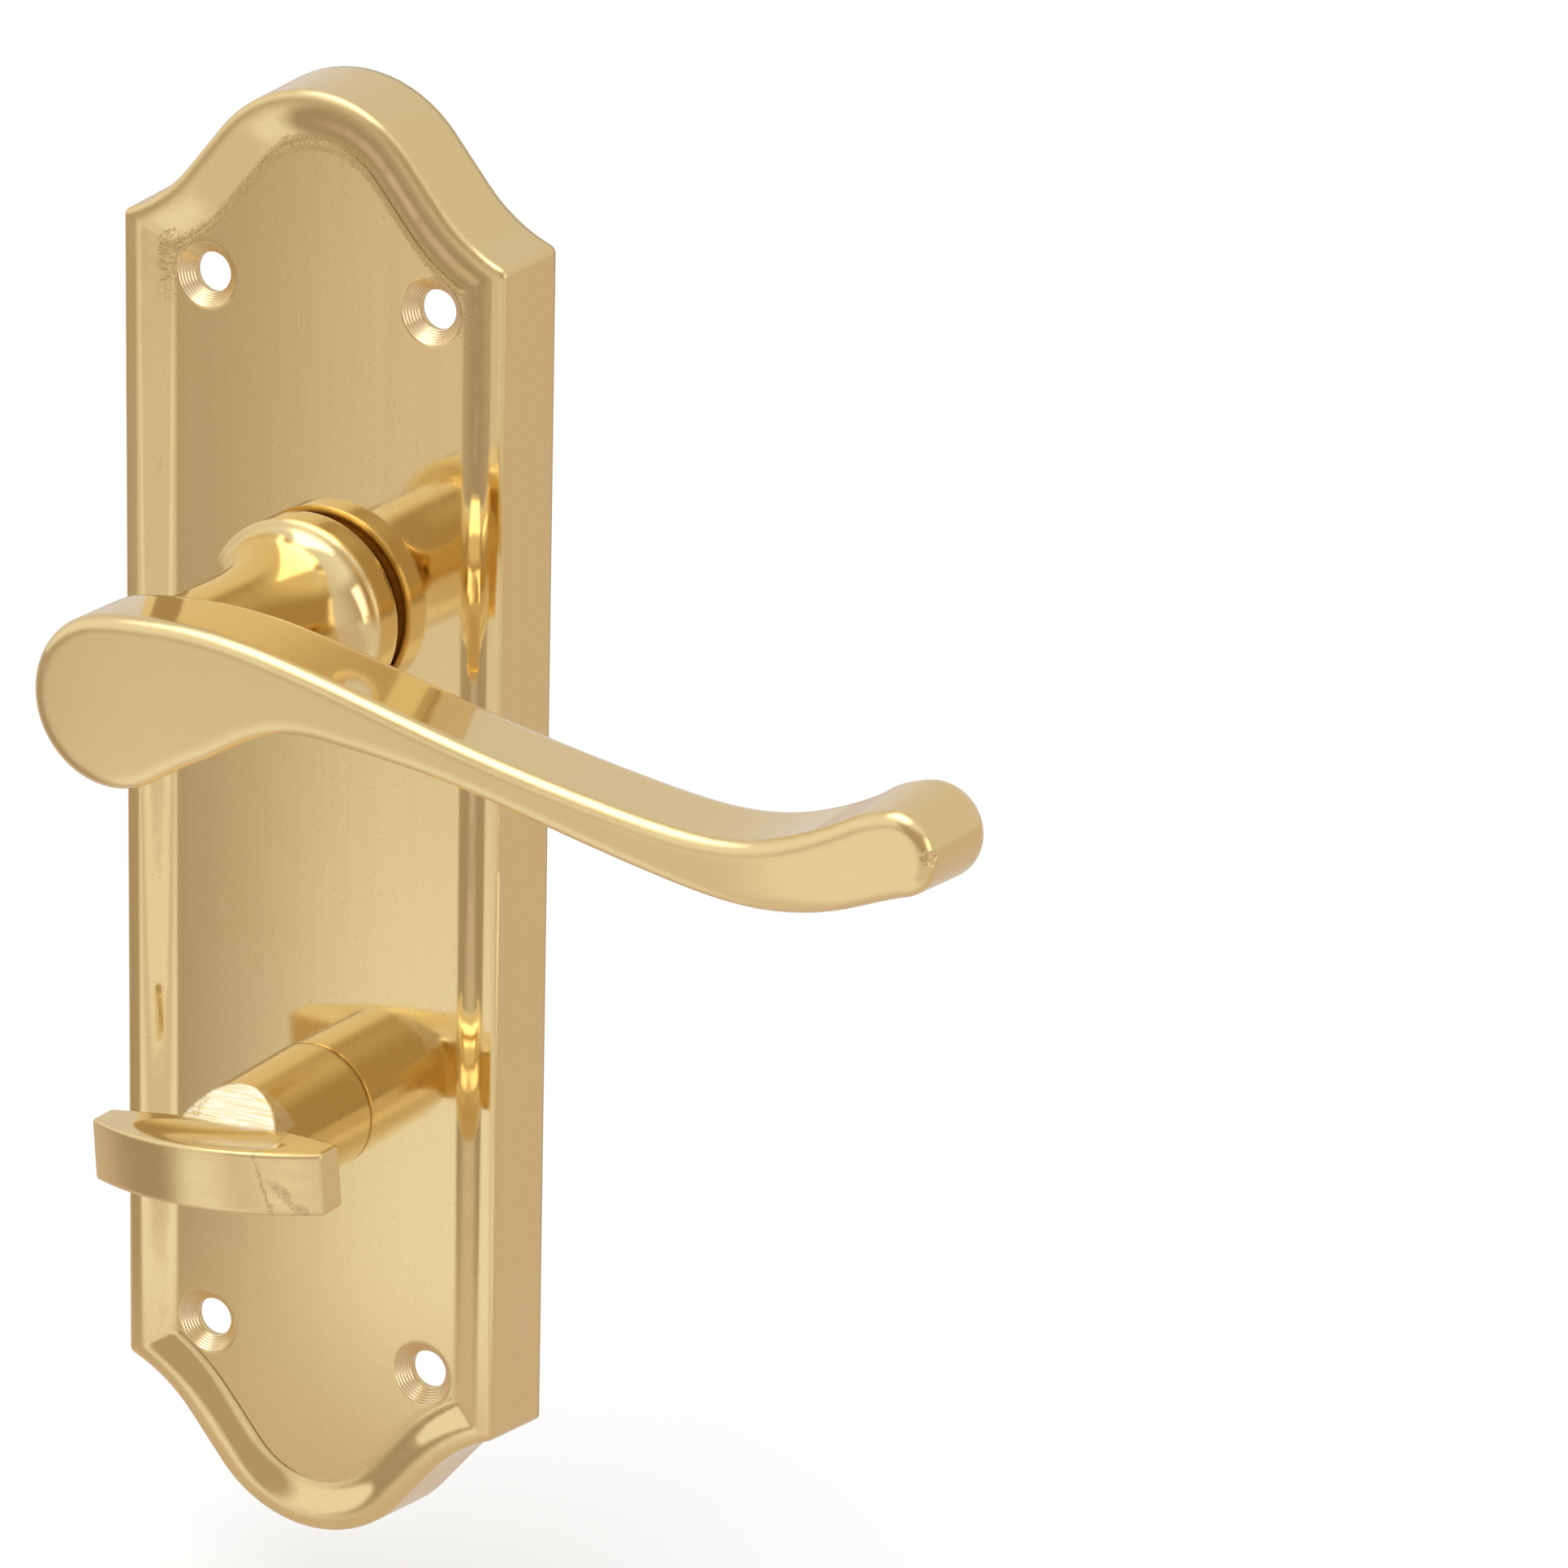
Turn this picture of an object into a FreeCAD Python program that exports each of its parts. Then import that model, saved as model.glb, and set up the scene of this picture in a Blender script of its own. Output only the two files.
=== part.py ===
import FreeCAD, Part
import math
import os

# Bathroom door handle: a lever and a thumbturn on one moulded backplate.
# Millimetres. X runs along the lever, Z up the plate, and the door is at Y = 0 with the front at -Y.
# The origin is on the lever's spindle axis. Depths below are distances from the door towards the front.

V = FreeCAD.Vector
OUT = V(0, -1, 0)
INTO_DOOR = V(0, 1, 0)
ORIGIN = V(0, 0, 0)

# How far a cutter passes the surfaces that it opens
OVERRUN = 1.0

# Backplate outline
PLATE_WIDTH = 47.4
SHOULDER_TOP = 41.0
SHOULDER_BOTTOM = -91.2
CROWN_R = 15.0
HOLLOW_R = 19.0
ARCH_SLOPE = 50.0
SHOULDER_ANGLE = 20.0
SHOULDER_SOFT = 0.9

# Backplate section
PLATE_DEPTH = 9.5
PANEL_DEPTH = 8.2
SIDE_DRAFT = 0.4
END_DRAFT = 0.45
ARRIS_R = 0.6
LAND_WIDTH = 1.7
MOULDING_WIDTH = 5.7
CREASE_DROP = 0.2
CREASE_WIDTH = 0.25
PANEL_WALL = 2.1
RIM_WALL = 2.4

# Fixing holes
SCREW_SPACING_X = 28.0
SCREW_TOP = 34.6
SCREW_BOTTOM = -85.4
SCREW_HOLE_R = 2.2
COUNTERSINK_R = 3.65

# Lever shank, neck and boss
SPINDLE_SQUARE = 8.0
SPINDLE_PLAY = 0.1
SPINDLE_SOCKET = 24.0
SHANK_R = 7.4
SHANK_END = 0.2
RUNNING = 0.05
SIDE_PLAY = 0.1
BUSH_WALL = 0.8
BUSH_FLANGE = 1.1
BUSH_FLANGE_R = 9.3
BOSS_R = 10.9
BOSS_BAND = 3.4
BOSS_SOFT = 0.35
BOSS_LIP = 0.5
FLARE_END = 25.0
NECK_R = 7.4

# Lever blade
LEVER_PROJECTION = 48.4
BLADE_THICK = 11.2
LEVER_REACH = 96.4
HEAD_R = 9.25
TIP_R = 5.2
TIP_RISE = 1.0
TIP_DRAFT = 0.9
TIP_DRAFT_LOW = 0.3
FRONT_SOFT = 1.4
BACK_SOFT = 2.2
TOP_LEAVE = 100.0
TIP_ENTER = 105.0
TIP_LEAVE = -73.0
BOTTOM_JOIN = -58.0
# Blade edges between head and tip: share of the way to the tip's centre, and height as a share of HEAD_R
BLADE_TOP = [(0.05, 1.054), (0.10, 1.065), (0.22, 0.919), (0.46, 0.378), (0.65, 0.032), (0.77, -0.076),
             (0.86, 0.076), (0.94, 0.443)]
BLADE_BOTTOM = [(0.93, -0.681), (0.83, -0.843), (0.72, -0.724), (0.58, -0.432), (0.42, -0.108), (0.30, 0.032),
                (0.22, 0.011), (0.13, -0.422)]

# Return mechanism in the hollow back
ANCHOR_PLATE_THICK = 0.8
ANCHOR_PLATE_R = 16.2
ANCHOR_PLATE_HOLE_PLAY = 0.2
STUD_R = 1.5
STUD_ANGLE = 68.0
STUD_CIRCLE_R = 17.2
EAR_R = 3.4
PUSH_WASHER_R = 3.0
PUSH_WASHER_THICK = 0.5
WIRE_R = 0.5
COIL_R = 10.0
COIL_PITCH = 1.05
LEG_LENGTH = 8.6
LEG_REACH = 7.5
SPRING_HALF_TURNS = 3
SPRING_ROOM = 2.8
SPRING_PLAY = 0.15
PIN_R = 0.9
PIN_PLAY = 0.05
CAM_THICK = 1.2
CAM_R = 11.0
CAM_FLAT = 6.3
ANCHOR_PIN_ANGLE = 200.0
ARM_WIDTH = 5.0
ARM_R = 15.6
PIN_ARM_R = 2.2
LEVER_TRAVEL = 42.0
TAB_THICK = 1.2
TAB_INNER_R = 12.4
TAB_OUTER_R = 15.4
CLIP_THICK = 0.8
CLIP_WIDTH = 1.9
CLIP_BITE = 0.8
CLIP_GAP_ANGLE = 50.0
STACK_PLAY = 0.05

# Thumbturn
TURN_Z = -57.0
TURN_REST = -3.9
TURN_BASE_R = 7.25
TURN_NECK_R = 6.9
TURN_SHANK_R = 5.4
TURN_SQUARE = 5.0
TURN_SOCKET = 16.0
TURN_SHANK_END = 1.6
TURN_PANEL_GAP = 0.12
TURN_BUSH_WALL = 1.0
TURN_BUSH_FLANGE_R = 9.0
TURN_BUSH_FLANGE = 0.8
WAVE_HEIGHT = 1.1
WAVE_THICK = 0.4
WAVE_R = 8.0
FLAT_WASHER_THICK = 0.8
FLAT_WASHER_R = 8.4
BAR_LENGTH = 29.2
BAR_HEIGHT = 7.0
BAR_APEX = 33.1
BAR_END_FRONT = 29.5
BAR_END_BACK = 26.0
BAR_MID_BACK = 24.2
BAR_SOFT = 0.45
FLAT_START = 21.8
FLAT_END = 25.4
DISH_DEPTH = 0.75
DISH_R = 61.0
DISH_TUBE_R = 8.5


def along_y(radius, near, far, x=0.0, z=0.0):
    """A round bar along the door's normal, between two depths."""
    return Part.makeCylinder(radius, far - near, V(x, -near, z), OUT)


def ring(outer, inner, near, far, x=0.0, z=0.0):
    return along_y(outer, near, far, x, z).cut(along_y(inner, near - OVERRUN, far + OVERRUN, x, z))


def block(x0, x1, near, far, z0, z1):
    return Part.makeBox(x1 - x0, far - near, z1 - z0, V(x0, -far, z0))


def polar(radius, degrees):
    a = math.radians(degrees)
    return radius * math.cos(a), radius * math.sin(a)


def turned(shape, degrees, z=0.0):
    """Positive turns the +X side down, as the lever does when it is pressed."""
    copy = shape.copy()
    copy.rotate(V(0, 0, z), INTO_DOOR, degrees)
    return copy


def save(shape, name):
    solid = shape.removeSplitter()
    if solid.ShapeType == "Compound" and len(solid.Solids) == 1:
        solid = solid.Solids[0]
    assert solid.isValid() and len(solid.Solids) == 1, name
    os.makedirs("parts", exist_ok=True)
    solid.exportStep("parts/" + name + ".step")


# Backplate

def arch_half(inset):
    """Right half of an arched end above its shoulder: corner, hollow middle, two tangent points, crown height."""
    slope = math.radians(ARCH_SLOPE)
    start = math.radians(SHOULDER_ANGLE)
    half = PLATE_WIDTH / 2
    run = half - CROWN_R * math.sin(slope) - HOLLOW_R * (math.sin(slope) - math.sin(start))
    straight = run / math.cos(slope)
    hollow_x = half + HOLLOW_R * math.sin(start)
    hollow_z = HOLLOW_R * math.cos(start)
    crown_z = hollow_z - (HOLLOW_R + CROWN_R) * math.cos(slope) + straight * math.sin(slope)
    hollow_r = HOLLOW_R + inset
    crown_r = CROWN_R - inset
    corner = math.asin((hollow_x - half + inset) / hollow_r)
    points = []
    for angle in (corner, (corner + slope) / 2, slope):
        points.append((hollow_x - hollow_r * math.sin(angle), hollow_z - hollow_r * math.cos(angle)))
    points.append((crown_r * math.sin(slope), crown_z + crown_r * math.cos(slope)))
    points.append((0.0, crown_z + crown_r))
    return points


def plate_outline(inset, depth, end_inset=0.0):
    """Closed outline of the plate, moved inward by inset and at each end by end_inset, at a depth from the door."""
    half = arch_half(inset)

    def point(index, side, end):
        base = SHOULDER_TOP if end > 0 else SHOULDER_BOTTOM
        return V(side * half[index][0], -depth, base + end * (half[index][1] - end_inset))

    def climb(side, end):
        hollow = Part.Arc(point(0, side, end), point(1, side, end), point(2, side, end)).toShape()
        return [hollow, Part.makeLine(point(2, side, end), point(3, side, end))]

    edges = []
    for side, end in ((1, 1), (-1, -1)):
        up = climb(side, end)
        crown = Part.Arc(point(3, side, end), point(4, side, end), point(3, -side, end)).toShape()
        down = climb(-side, end)[::-1]
        flank = Part.makeLine(point(0, -side, end), point(0, -side, -end))
        edges += up + [crown] + down + [flank]
    return Part.Wire(edges)


def plate_slab(inset, near, far):
    face = Part.Face(plate_outline(inset, near))
    return face.extrude(V(0, near - far, 0))


def moulded_blank():
    """The drafted block with softened shoulders and front arris."""
    back = plate_outline(-SIDE_DRAFT, 0.0)
    front = plate_outline(0.0, PLATE_DEPTH, END_DRAFT)
    blank = Part.makeLoft([back, front], True, True)
    corners = [e for e in blank.Edges
               if abs(e.Vertexes[0].Y - e.Vertexes[-1].Y) > PLATE_DEPTH / 2
               and abs(e.Vertexes[0].X) > PLATE_WIDTH / 2 - SIDE_DRAFT]
    blank = blank.makeFillet(SHOULDER_SOFT, corners)
    arris = [e for e in blank.Edges if all(abs(v.Y + PLATE_DEPTH) < 1e-4 for v in e.Vertexes)]
    return blank.makeFillet(ARRIS_R, arris)


def moulding_cutter():
    """What is above the panel and inside the ogee that falls from the land to it, with mitred shoulders."""
    fall = PLATE_DEPTH - PANEL_DEPTH
    steps = 6
    sections = []
    for i in range(steps + 1):
        share = i / steps
        inset = LAND_WIDTH + share * (MOULDING_WIDTH - LAND_WIDTH)
        depth = PLATE_DEPTH - fall * (1 - math.cos(math.pi * share)) / 2
        sections.append(plate_outline(inset, depth))
    return Part.makeLoft(sections, True, False)


def crease_cutter():
    """The fine groove between the panel and the moulding of each arched end."""
    bottom = PANEL_DEPTH - CREASE_DROP
    groove = plate_slab(MOULDING_WIDTH, bottom, PANEL_DEPTH)
    groove = groove.cut(plate_slab(MOULDING_WIDTH + CREASE_WIDTH, bottom - OVERRUN, PANEL_DEPTH + OVERRUN))
    corner = arch_half(MOULDING_WIDTH)[0][1]
    sides = block(-PLATE_WIDTH, PLATE_WIDTH, 0.0, PLATE_DEPTH, SHOULDER_BOTTOM - corner, SHOULDER_TOP + corner)
    return groove.cut(sides)


def backplate():
    floor = PANEL_DEPTH - PANEL_WALL
    plate = moulded_blank().cut(moulding_cutter()).cut(crease_cutter())
    plate = plate.cut(plate_slab(RIM_WALL, 0.0, floor))
    for side in (-1, 1):
        x, z = polar(STUD_CIRCLE_R, STUD_ANGLE)
        stud_top = floor - ANCHOR_PLATE_THICK - PUSH_WASHER_THICK - PUSH_WASHER_THICK
        plate = plate.fuse(along_y(STUD_R, stud_top, floor + PANEL_WALL / 2, side * x, side * z))
    sink = COUNTERSINK_R - SCREW_HOLE_R
    for side in (-1, 1):
        for z in (SCREW_TOP, SCREW_BOTTOM):
            x = side * SCREW_SPACING_X / 2
            plate = plate.cut(along_y(SCREW_HOLE_R, -OVERRUN, PANEL_DEPTH + OVERRUN, x, z))
            mouth = COUNTERSINK_R + OVERRUN
            cone = Part.makeCone(SCREW_HOLE_R, mouth, sink + OVERRUN, V(x, sink - PANEL_DEPTH, z), OUT)
            plate = plate.cut(cone)
    plate = plate.cut(along_y(bush_outer_r(), -OVERRUN, PLATE_DEPTH + OVERRUN))
    return plate.cut(along_y(turn_bush_outer_r(), -OVERRUN, PLATE_DEPTH + OVERRUN, 0, TURN_Z))


# Lever

def bush_outer_r():
    return SHANK_R + RUNNING + BUSH_WALL


def cam_depths():
    """Depths of the cam plate's back and front."""
    front = PANEL_DEPTH - PANEL_WALL - ANCHOR_PLATE_THICK - SPRING_ROOM
    return front - CAM_THICK, front


def boss_back():
    return PANEL_DEPTH + BUSH_FLANGE + SIDE_PLAY


def blade_outline(depth):
    """The blade's outline at a depth. Its back is wider than its front, more and more towards the tip."""
    back = LEVER_PROJECTION - BLADE_THICK
    forward = (depth - back) / BLADE_THICK
    tip_x = LEVER_REACH - TIP_R
    tip_r = TIP_R - TIP_DRAFT * forward
    tip_z = TIP_RISE - TIP_DRAFT_LOW * forward
    narrow_top = TIP_DRAFT * forward
    widen_bottom = TIP_DRAFT_LOW * (1 - forward)

    def head(degrees):
        x, z = polar(HEAD_R, degrees)
        return V(x, -depth, z)

    def tip(degrees):
        x, z = polar(tip_r, degrees)
        return V(tip_x + x, -depth, tip_z + z)

    def heading(degrees):
        a = math.radians(degrees)
        return V(math.sin(a), 0, -math.cos(a))

    def edge(start, stations, lower, end, leave, arrive):
        inner = [V(share * tip_x, -depth, height * HEAD_R - lower * share) for share, height in stations]
        points = [start] + inner + [end]
        curve = Part.BSplineCurve()
        curve.interpolate(Points=points, InitialTangent=heading(leave), FinalTangent=heading(arrive))
        return curve.toShape()

    top = edge(head(TOP_LEAVE), BLADE_TOP, narrow_top, tip(TIP_ENTER), TOP_LEAVE, TIP_ENTER)
    end = Part.Arc(tip(TIP_ENTER), tip((TIP_ENTER + TIP_LEAVE) / 2), tip(TIP_LEAVE)).toShape()
    bottom = edge(tip(TIP_LEAVE), BLADE_BOTTOM, widen_bottom, head(BOTTOM_JOIN), TIP_LEAVE, BOTTOM_JOIN)
    round_head = Part.Arc(head(BOTTOM_JOIN), head(180), head(TOP_LEAVE)).toShape()
    return Part.Wire([top, end, bottom, round_head])


def blade():
    back = LEVER_PROJECTION - BLADE_THICK
    solid = Part.makeLoft([blade_outline(back), blade_outline(LEVER_PROJECTION)], True, True)
    front_edges = [e for e in solid.Edges if all(abs(v.Y + LEVER_PROJECTION) < 1e-4 for v in e.Vertexes)]
    solid = solid.makeFillet(FRONT_SOFT, front_edges)
    back_edges = [e for e in solid.Edges if all(abs(v.Y + back) < 1e-4 for v in e.Vertexes)]
    return solid.makeFillet(BACK_SOFT, back_edges)


def stem():
    """Shank, boss and neck, turned in one."""
    base = boss_back()
    band = base + BOSS_BAND
    face = band + BOSS_SOFT
    lip = BOSS_R - BOSS_SOFT
    into_blade = LEVER_PROJECTION - BLADE_THICK / 2
    flare_start = V(lip - BOSS_LIP, -face, 0)
    run = FLARE_END - face
    flare = Part.BezierCurve()
    flare.setPoles([
        flare_start,
        V((lip + NECK_R) / 2, -face - 0.12 * run, 0),
        V(NECK_R, -face - 0.30 * run, 0),
        V(NECK_R, -FLARE_END, 0),
    ])
    soft_mid = BOSS_R - BOSS_SOFT * (1 - math.sqrt(0.5))
    soft_y = -band - BOSS_SOFT * math.sqrt(0.5)
    edges = [
        Part.makeLine(V(0, -SHANK_END, 0), V(SHANK_R, -SHANK_END, 0)),
        Part.makeLine(V(SHANK_R, -SHANK_END, 0), V(SHANK_R, -base, 0)),
        Part.makeLine(V(SHANK_R, -base, 0), V(BOSS_R, -base, 0)),
        Part.makeLine(V(BOSS_R, -base, 0), V(BOSS_R, -band, 0)),
        Part.Arc(V(BOSS_R, -band, 0), V(soft_mid, soft_y, 0), V(lip, -face, 0)).toShape(),
        Part.makeLine(V(lip, -face, 0), flare_start),
        flare.toShape(),
        Part.makeLine(V(NECK_R, -FLARE_END, 0), V(NECK_R, -into_blade, 0)),
        Part.makeLine(V(NECK_R, -into_blade, 0), V(0, -into_blade, 0)),
        Part.makeLine(V(0, -into_blade, 0), V(0, -SHANK_END, 0)),
    ]
    return Part.Face(Part.Wire(edges)).revolve(ORIGIN, V(0, 1, 0), 360)


def shank_flats(near, far, play):
    """What is milled off the shank's sides where the cam plate is keyed on."""
    flat = CAM_FLAT + play
    side = SHANK_R + OVERRUN
    top = block(-side, side, near, far, flat, side)
    return top.fuse(turned(top, 180))


def clip_depths():
    cam_back = cam_depths()[0]
    return cam_back - STACK_PLAY - CLIP_THICK, cam_back - STACK_PLAY


def lever():
    body = stem().fuse(blade())
    body = body.cut(shank_flats(SHANK_END - OVERRUN, cam_depths()[1], 0.0))
    clip_back, clip_front = clip_depths()
    body = body.cut(ring(SHANK_R + OVERRUN, SHANK_R - CLIP_BITE, clip_back - STACK_PLAY, clip_front))
    half = (SPINDLE_SQUARE + SPINDLE_PLAY) / 2
    return body.cut(block(-half, half, SHANK_END - OVERRUN, SPINDLE_SOCKET, -half, half))


def lever_bush():
    flange = ring(BUSH_FLANGE_R, SHANK_R + RUNNING, PANEL_DEPTH, PANEL_DEPTH + BUSH_FLANGE)
    sleeve = ring(bush_outer_r(), SHANK_R + RUNNING, cam_depths()[1] + SIDE_PLAY, PANEL_DEPTH)
    return flange.fuse(sleeve)


# Return mechanism

def pin_place(angle):
    """Centre of a pin that a spring leg bears on."""
    out = COIL_R + WIRE_R + PIN_R + PIN_PLAY
    return polar(math.hypot(out, LEG_REACH), angle)


def leg_offset():
    """Angle between a leg's start on the coil and its pin."""
    return math.degrees(math.atan2(LEG_REACH, COIL_R + WIRE_R + PIN_R + PIN_PLAY))


def coil_start():
    return ANCHOR_PIN_ANGLE - leg_offset()


def cam_pin_angle():
    return coil_start() - 180.0 * SPRING_HALF_TURNS - leg_offset()


def anchor_plate():
    front = PANEL_DEPTH - PANEL_WALL
    back = front - ANCHOR_PLATE_THICK
    plate = along_y(ANCHOR_PLATE_R, back, front)
    stud_x, stud_z = polar(STUD_CIRCLE_R, STUD_ANGLE)
    for side in (-1, 1):
        plate = plate.fuse(along_y(EAR_R, back, front, side * stud_x, side * stud_z))
    tab_back = cam_depths()[0]
    edge = ARM_WIDTH / 2 + PIN_PLAY
    rest_tab = block(-edge - TAB_THICK, -edge, tab_back, front, TAB_INNER_R, TAB_OUTER_R)
    end_tab = turned(block(edge, edge + TAB_THICK, tab_back, front, TAB_INNER_R, TAB_OUTER_R), LEVER_TRAVEL)
    plate = plate.fuse(rest_tab).fuse(end_tab)
    below, above = back - OVERRUN, front + OVERRUN
    plate = plate.cut(along_y(bush_outer_r() + ANCHOR_PLATE_HOLE_PLAY, below, above))
    for side in (-1, 1):
        plate = plate.cut(along_y(STUD_R + PIN_PLAY, below, above, side * stud_x, side * stud_z))
    pin_x, pin_z = pin_place(ANCHOR_PIN_ANGLE)
    return plate.cut(along_y(PIN_R, below, above, pin_x, pin_z))


def push_washer(side):
    front = PANEL_DEPTH - PANEL_WALL - ANCHOR_PLATE_THICK
    x, z = polar(STUD_CIRCLE_R, STUD_ANGLE)
    return ring(PUSH_WASHER_R, STUD_R, front - PUSH_WASHER_THICK, front, side * x, side * z)


def anchor_pin():
    x, z = pin_place(ANCHOR_PIN_ANGLE)
    return along_y(PIN_R, cam_depths()[1] + SIDE_PLAY, PANEL_DEPTH - PANEL_WALL, x, z)


def cam_pin():
    x, z = pin_place(cam_pin_angle())
    return along_y(PIN_R, cam_depths()[0], cam_depths()[1] + SPRING_ROOM - SIDE_PLAY, x, z)


def cam_plate():
    back, front = cam_depths()
    plate = along_y(CAM_R, back, front)
    plate = plate.fuse(block(-ARM_WIDTH / 2, ARM_WIDTH / 2, back, front, 0, ARM_R))
    pin_x, pin_z = pin_place(cam_pin_angle())
    arm_reach = math.hypot(pin_x, pin_z)
    pin_arm = block(0, arm_reach, back, front, -PIN_ARM_R, PIN_ARM_R)
    plate = plate.fuse(turned(pin_arm, -cam_pin_angle())).fuse(along_y(PIN_ARM_R, back, front, pin_x, pin_z))
    below, above = back - OVERRUN, front + OVERRUN
    hole = along_y(SHANK_R + PIN_PLAY, below, above)
    hole = hole.cut(shank_flats(below - OVERRUN, above + OVERRUN, PIN_PLAY))
    return plate.cut(hole).cut(along_y(PIN_R, below, above, pin_x, pin_z))


def return_spring():
    """Torsion coil round the bush, in half turns that each lean by half the pitch.

    The wire passes from one half turn to the next square to the coil's diameter, and both legs leave
    along the tangent and bear on the two pins.
    """
    rise = COIL_PITCH / 2
    half_r = math.hypot(COIL_R, rise / 2)
    lean = math.degrees(math.atan2(rise, 2 * COIL_R))
    axis = V(0, 0, 1)
    end_side = COIL_R * (-1) ** SPRING_HALF_TURNS
    end_heading = V(0, (-1) ** SPRING_HALF_TURNS, 0)
    spring = Part.makeCylinder(WIRE_R, LEG_LENGTH, V(COIL_R, 0, 0), V(0, -1, 0))
    for i in range(SPRING_HALF_TURNS):
        half = Part.makeTorus(half_r, WIRE_R, ORIGIN, axis, -180, 180, 180)
        half.rotate(ORIGIN, V(0, 1, 0), lean)
        half.rotate(ORIGIN, axis, 180 * (i % 2))
        half.translate(V(0, 0, rise * (i + 0.5)))
        spring = spring.fuse(half)
    spring = spring.fuse(Part.makeCylinder(WIRE_R, LEG_LENGTH, V(end_side, 0, rise * SPRING_HALF_TURNS), end_heading))
    first = PANEL_DEPTH - PANEL_WALL - ANCHOR_PLATE_THICK - SPRING_PLAY - WIRE_R
    spring.rotate(ORIGIN, V(1, 0, 0), -90)
    spring.rotate(ORIGIN, INTO_DOOR, -coil_start())
    spring.translate(V(0, -first, 0))
    return spring


def circlip(shank_r, near, far, x, z):
    """Open ring that snaps into a groove, its gap at the bottom."""
    inner = shank_r - CLIP_BITE
    clip = ring(inner + CLIP_WIDTH, inner, near, far, x, z)
    half = inner * math.sin(math.radians(CLIP_GAP_ANGLE / 2))
    return clip.cut(block(x - half, x + half, near - OVERRUN, far + OVERRUN, z - inner - 2 * CLIP_WIDTH, z))


# Thumbturn

def turn_bush_outer_r():
    return TURN_SHANK_R + RUNNING + TURN_BUSH_WALL


def turn_stack():
    """Depths of the bush flange's back, the wave washer's back, the flat washer's back and the clip's back."""
    flange = PANEL_DEPTH - PANEL_WALL - TURN_BUSH_FLANGE
    wave = flange - STACK_PLAY - WAVE_HEIGHT
    flat = wave - STACK_PLAY - FLAT_WASHER_THICK
    return flange, wave, flat, flat - STACK_PLAY - CLIP_THICK


def turn_bar():
    """Crescent bar: crowned front, flat ends, nearly straight back, dished top and bottom."""
    half = BAR_LENGTH / 2
    low = -BAR_HEIGHT / 2
    edges = [
        Part.Arc(V(-half, -BAR_END_FRONT, low), V(0, -BAR_APEX, low), V(half, -BAR_END_FRONT, low)).toShape(),
        Part.makeLine(V(half, -BAR_END_FRONT, low), V(half, -BAR_END_BACK, low)),
        Part.Arc(V(half, -BAR_END_BACK, low), V(0, -BAR_MID_BACK, low), V(-half, -BAR_END_BACK, low)).toShape(),
        Part.makeLine(V(-half, -BAR_END_BACK, low), V(-half, -BAR_END_FRONT, low)),
    ]
    bar = Part.Face(Part.Wire(edges)).extrude(V(0, 0, BAR_HEIGHT))
    bar = bar.makeFillet(BAR_SOFT, bar.Edges)
    dish_y = -(BAR_MID_BACK + BAR_APEX) / 2
    lift = DISH_R - DISH_DEPTH + BAR_HEIGHT / 2
    for side in (-1, 1):
        tube = Part.makeTorus(DISH_R - DISH_TUBE_R, DISH_TUBE_R, V(0, dish_y, side * lift), V(0, 1, 0))
        bar = bar.cut(tube)
    return bar


def thumbturn():
    base = PANEL_DEPTH + TURN_PANEL_GAP
    barrel = Part.makeCone(TURN_BASE_R, TURN_NECK_R, FLAT_END - base, V(0, -base, 0), OUT)
    half = BAR_HEIGHT / 2
    slant = Part.makePolygon([
        V(-BAR_LENGTH, -FLAT_START, TURN_BASE_R),
        V(-BAR_LENGTH, -FLAT_END, half - BAR_SOFT / 2),
        V(-BAR_LENGTH, -BAR_APEX, half - BAR_SOFT / 2),
        V(-BAR_LENGTH, -BAR_APEX, TURN_BASE_R + OVERRUN),
        V(-BAR_LENGTH, -FLAT_START, TURN_BASE_R + OVERRUN),
        V(-BAR_LENGTH, -FLAT_START, TURN_BASE_R),
    ])
    wedge = Part.Face(slant).extrude(V(2 * BAR_LENGTH, 0, 0))
    barrel = barrel.cut(wedge).cut(turned(wedge, 180))
    shank = along_y(TURN_SHANK_R, TURN_SHANK_END, base + OVERRUN)
    clip_back = turn_stack()[3]
    shank = shank.cut(ring(TURN_SHANK_R + OVERRUN, TURN_SHANK_R - CLIP_BITE, clip_back - STACK_PLAY,
                           clip_back + CLIP_THICK + STACK_PLAY))
    body = barrel.fuse(turn_bar()).fuse(shank)
    square = (TURN_SQUARE + SPINDLE_PLAY) / 2
    body = body.cut(block(-square, square, TURN_SHANK_END - OVERRUN, TURN_SOCKET, -square, square))
    body = turned(body, TURN_REST)
    body.translate(V(0, 0, TURN_Z))
    return body


def turn_bush():
    bore = TURN_SHANK_R + RUNNING
    back = turn_stack()[0]
    flange = ring(TURN_BUSH_FLANGE_R, bore, back, PANEL_DEPTH - PANEL_WALL, 0, TURN_Z)
    return flange.fuse(ring(turn_bush_outer_r(), bore, back, PANEL_DEPTH, 0, TURN_Z))


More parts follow.
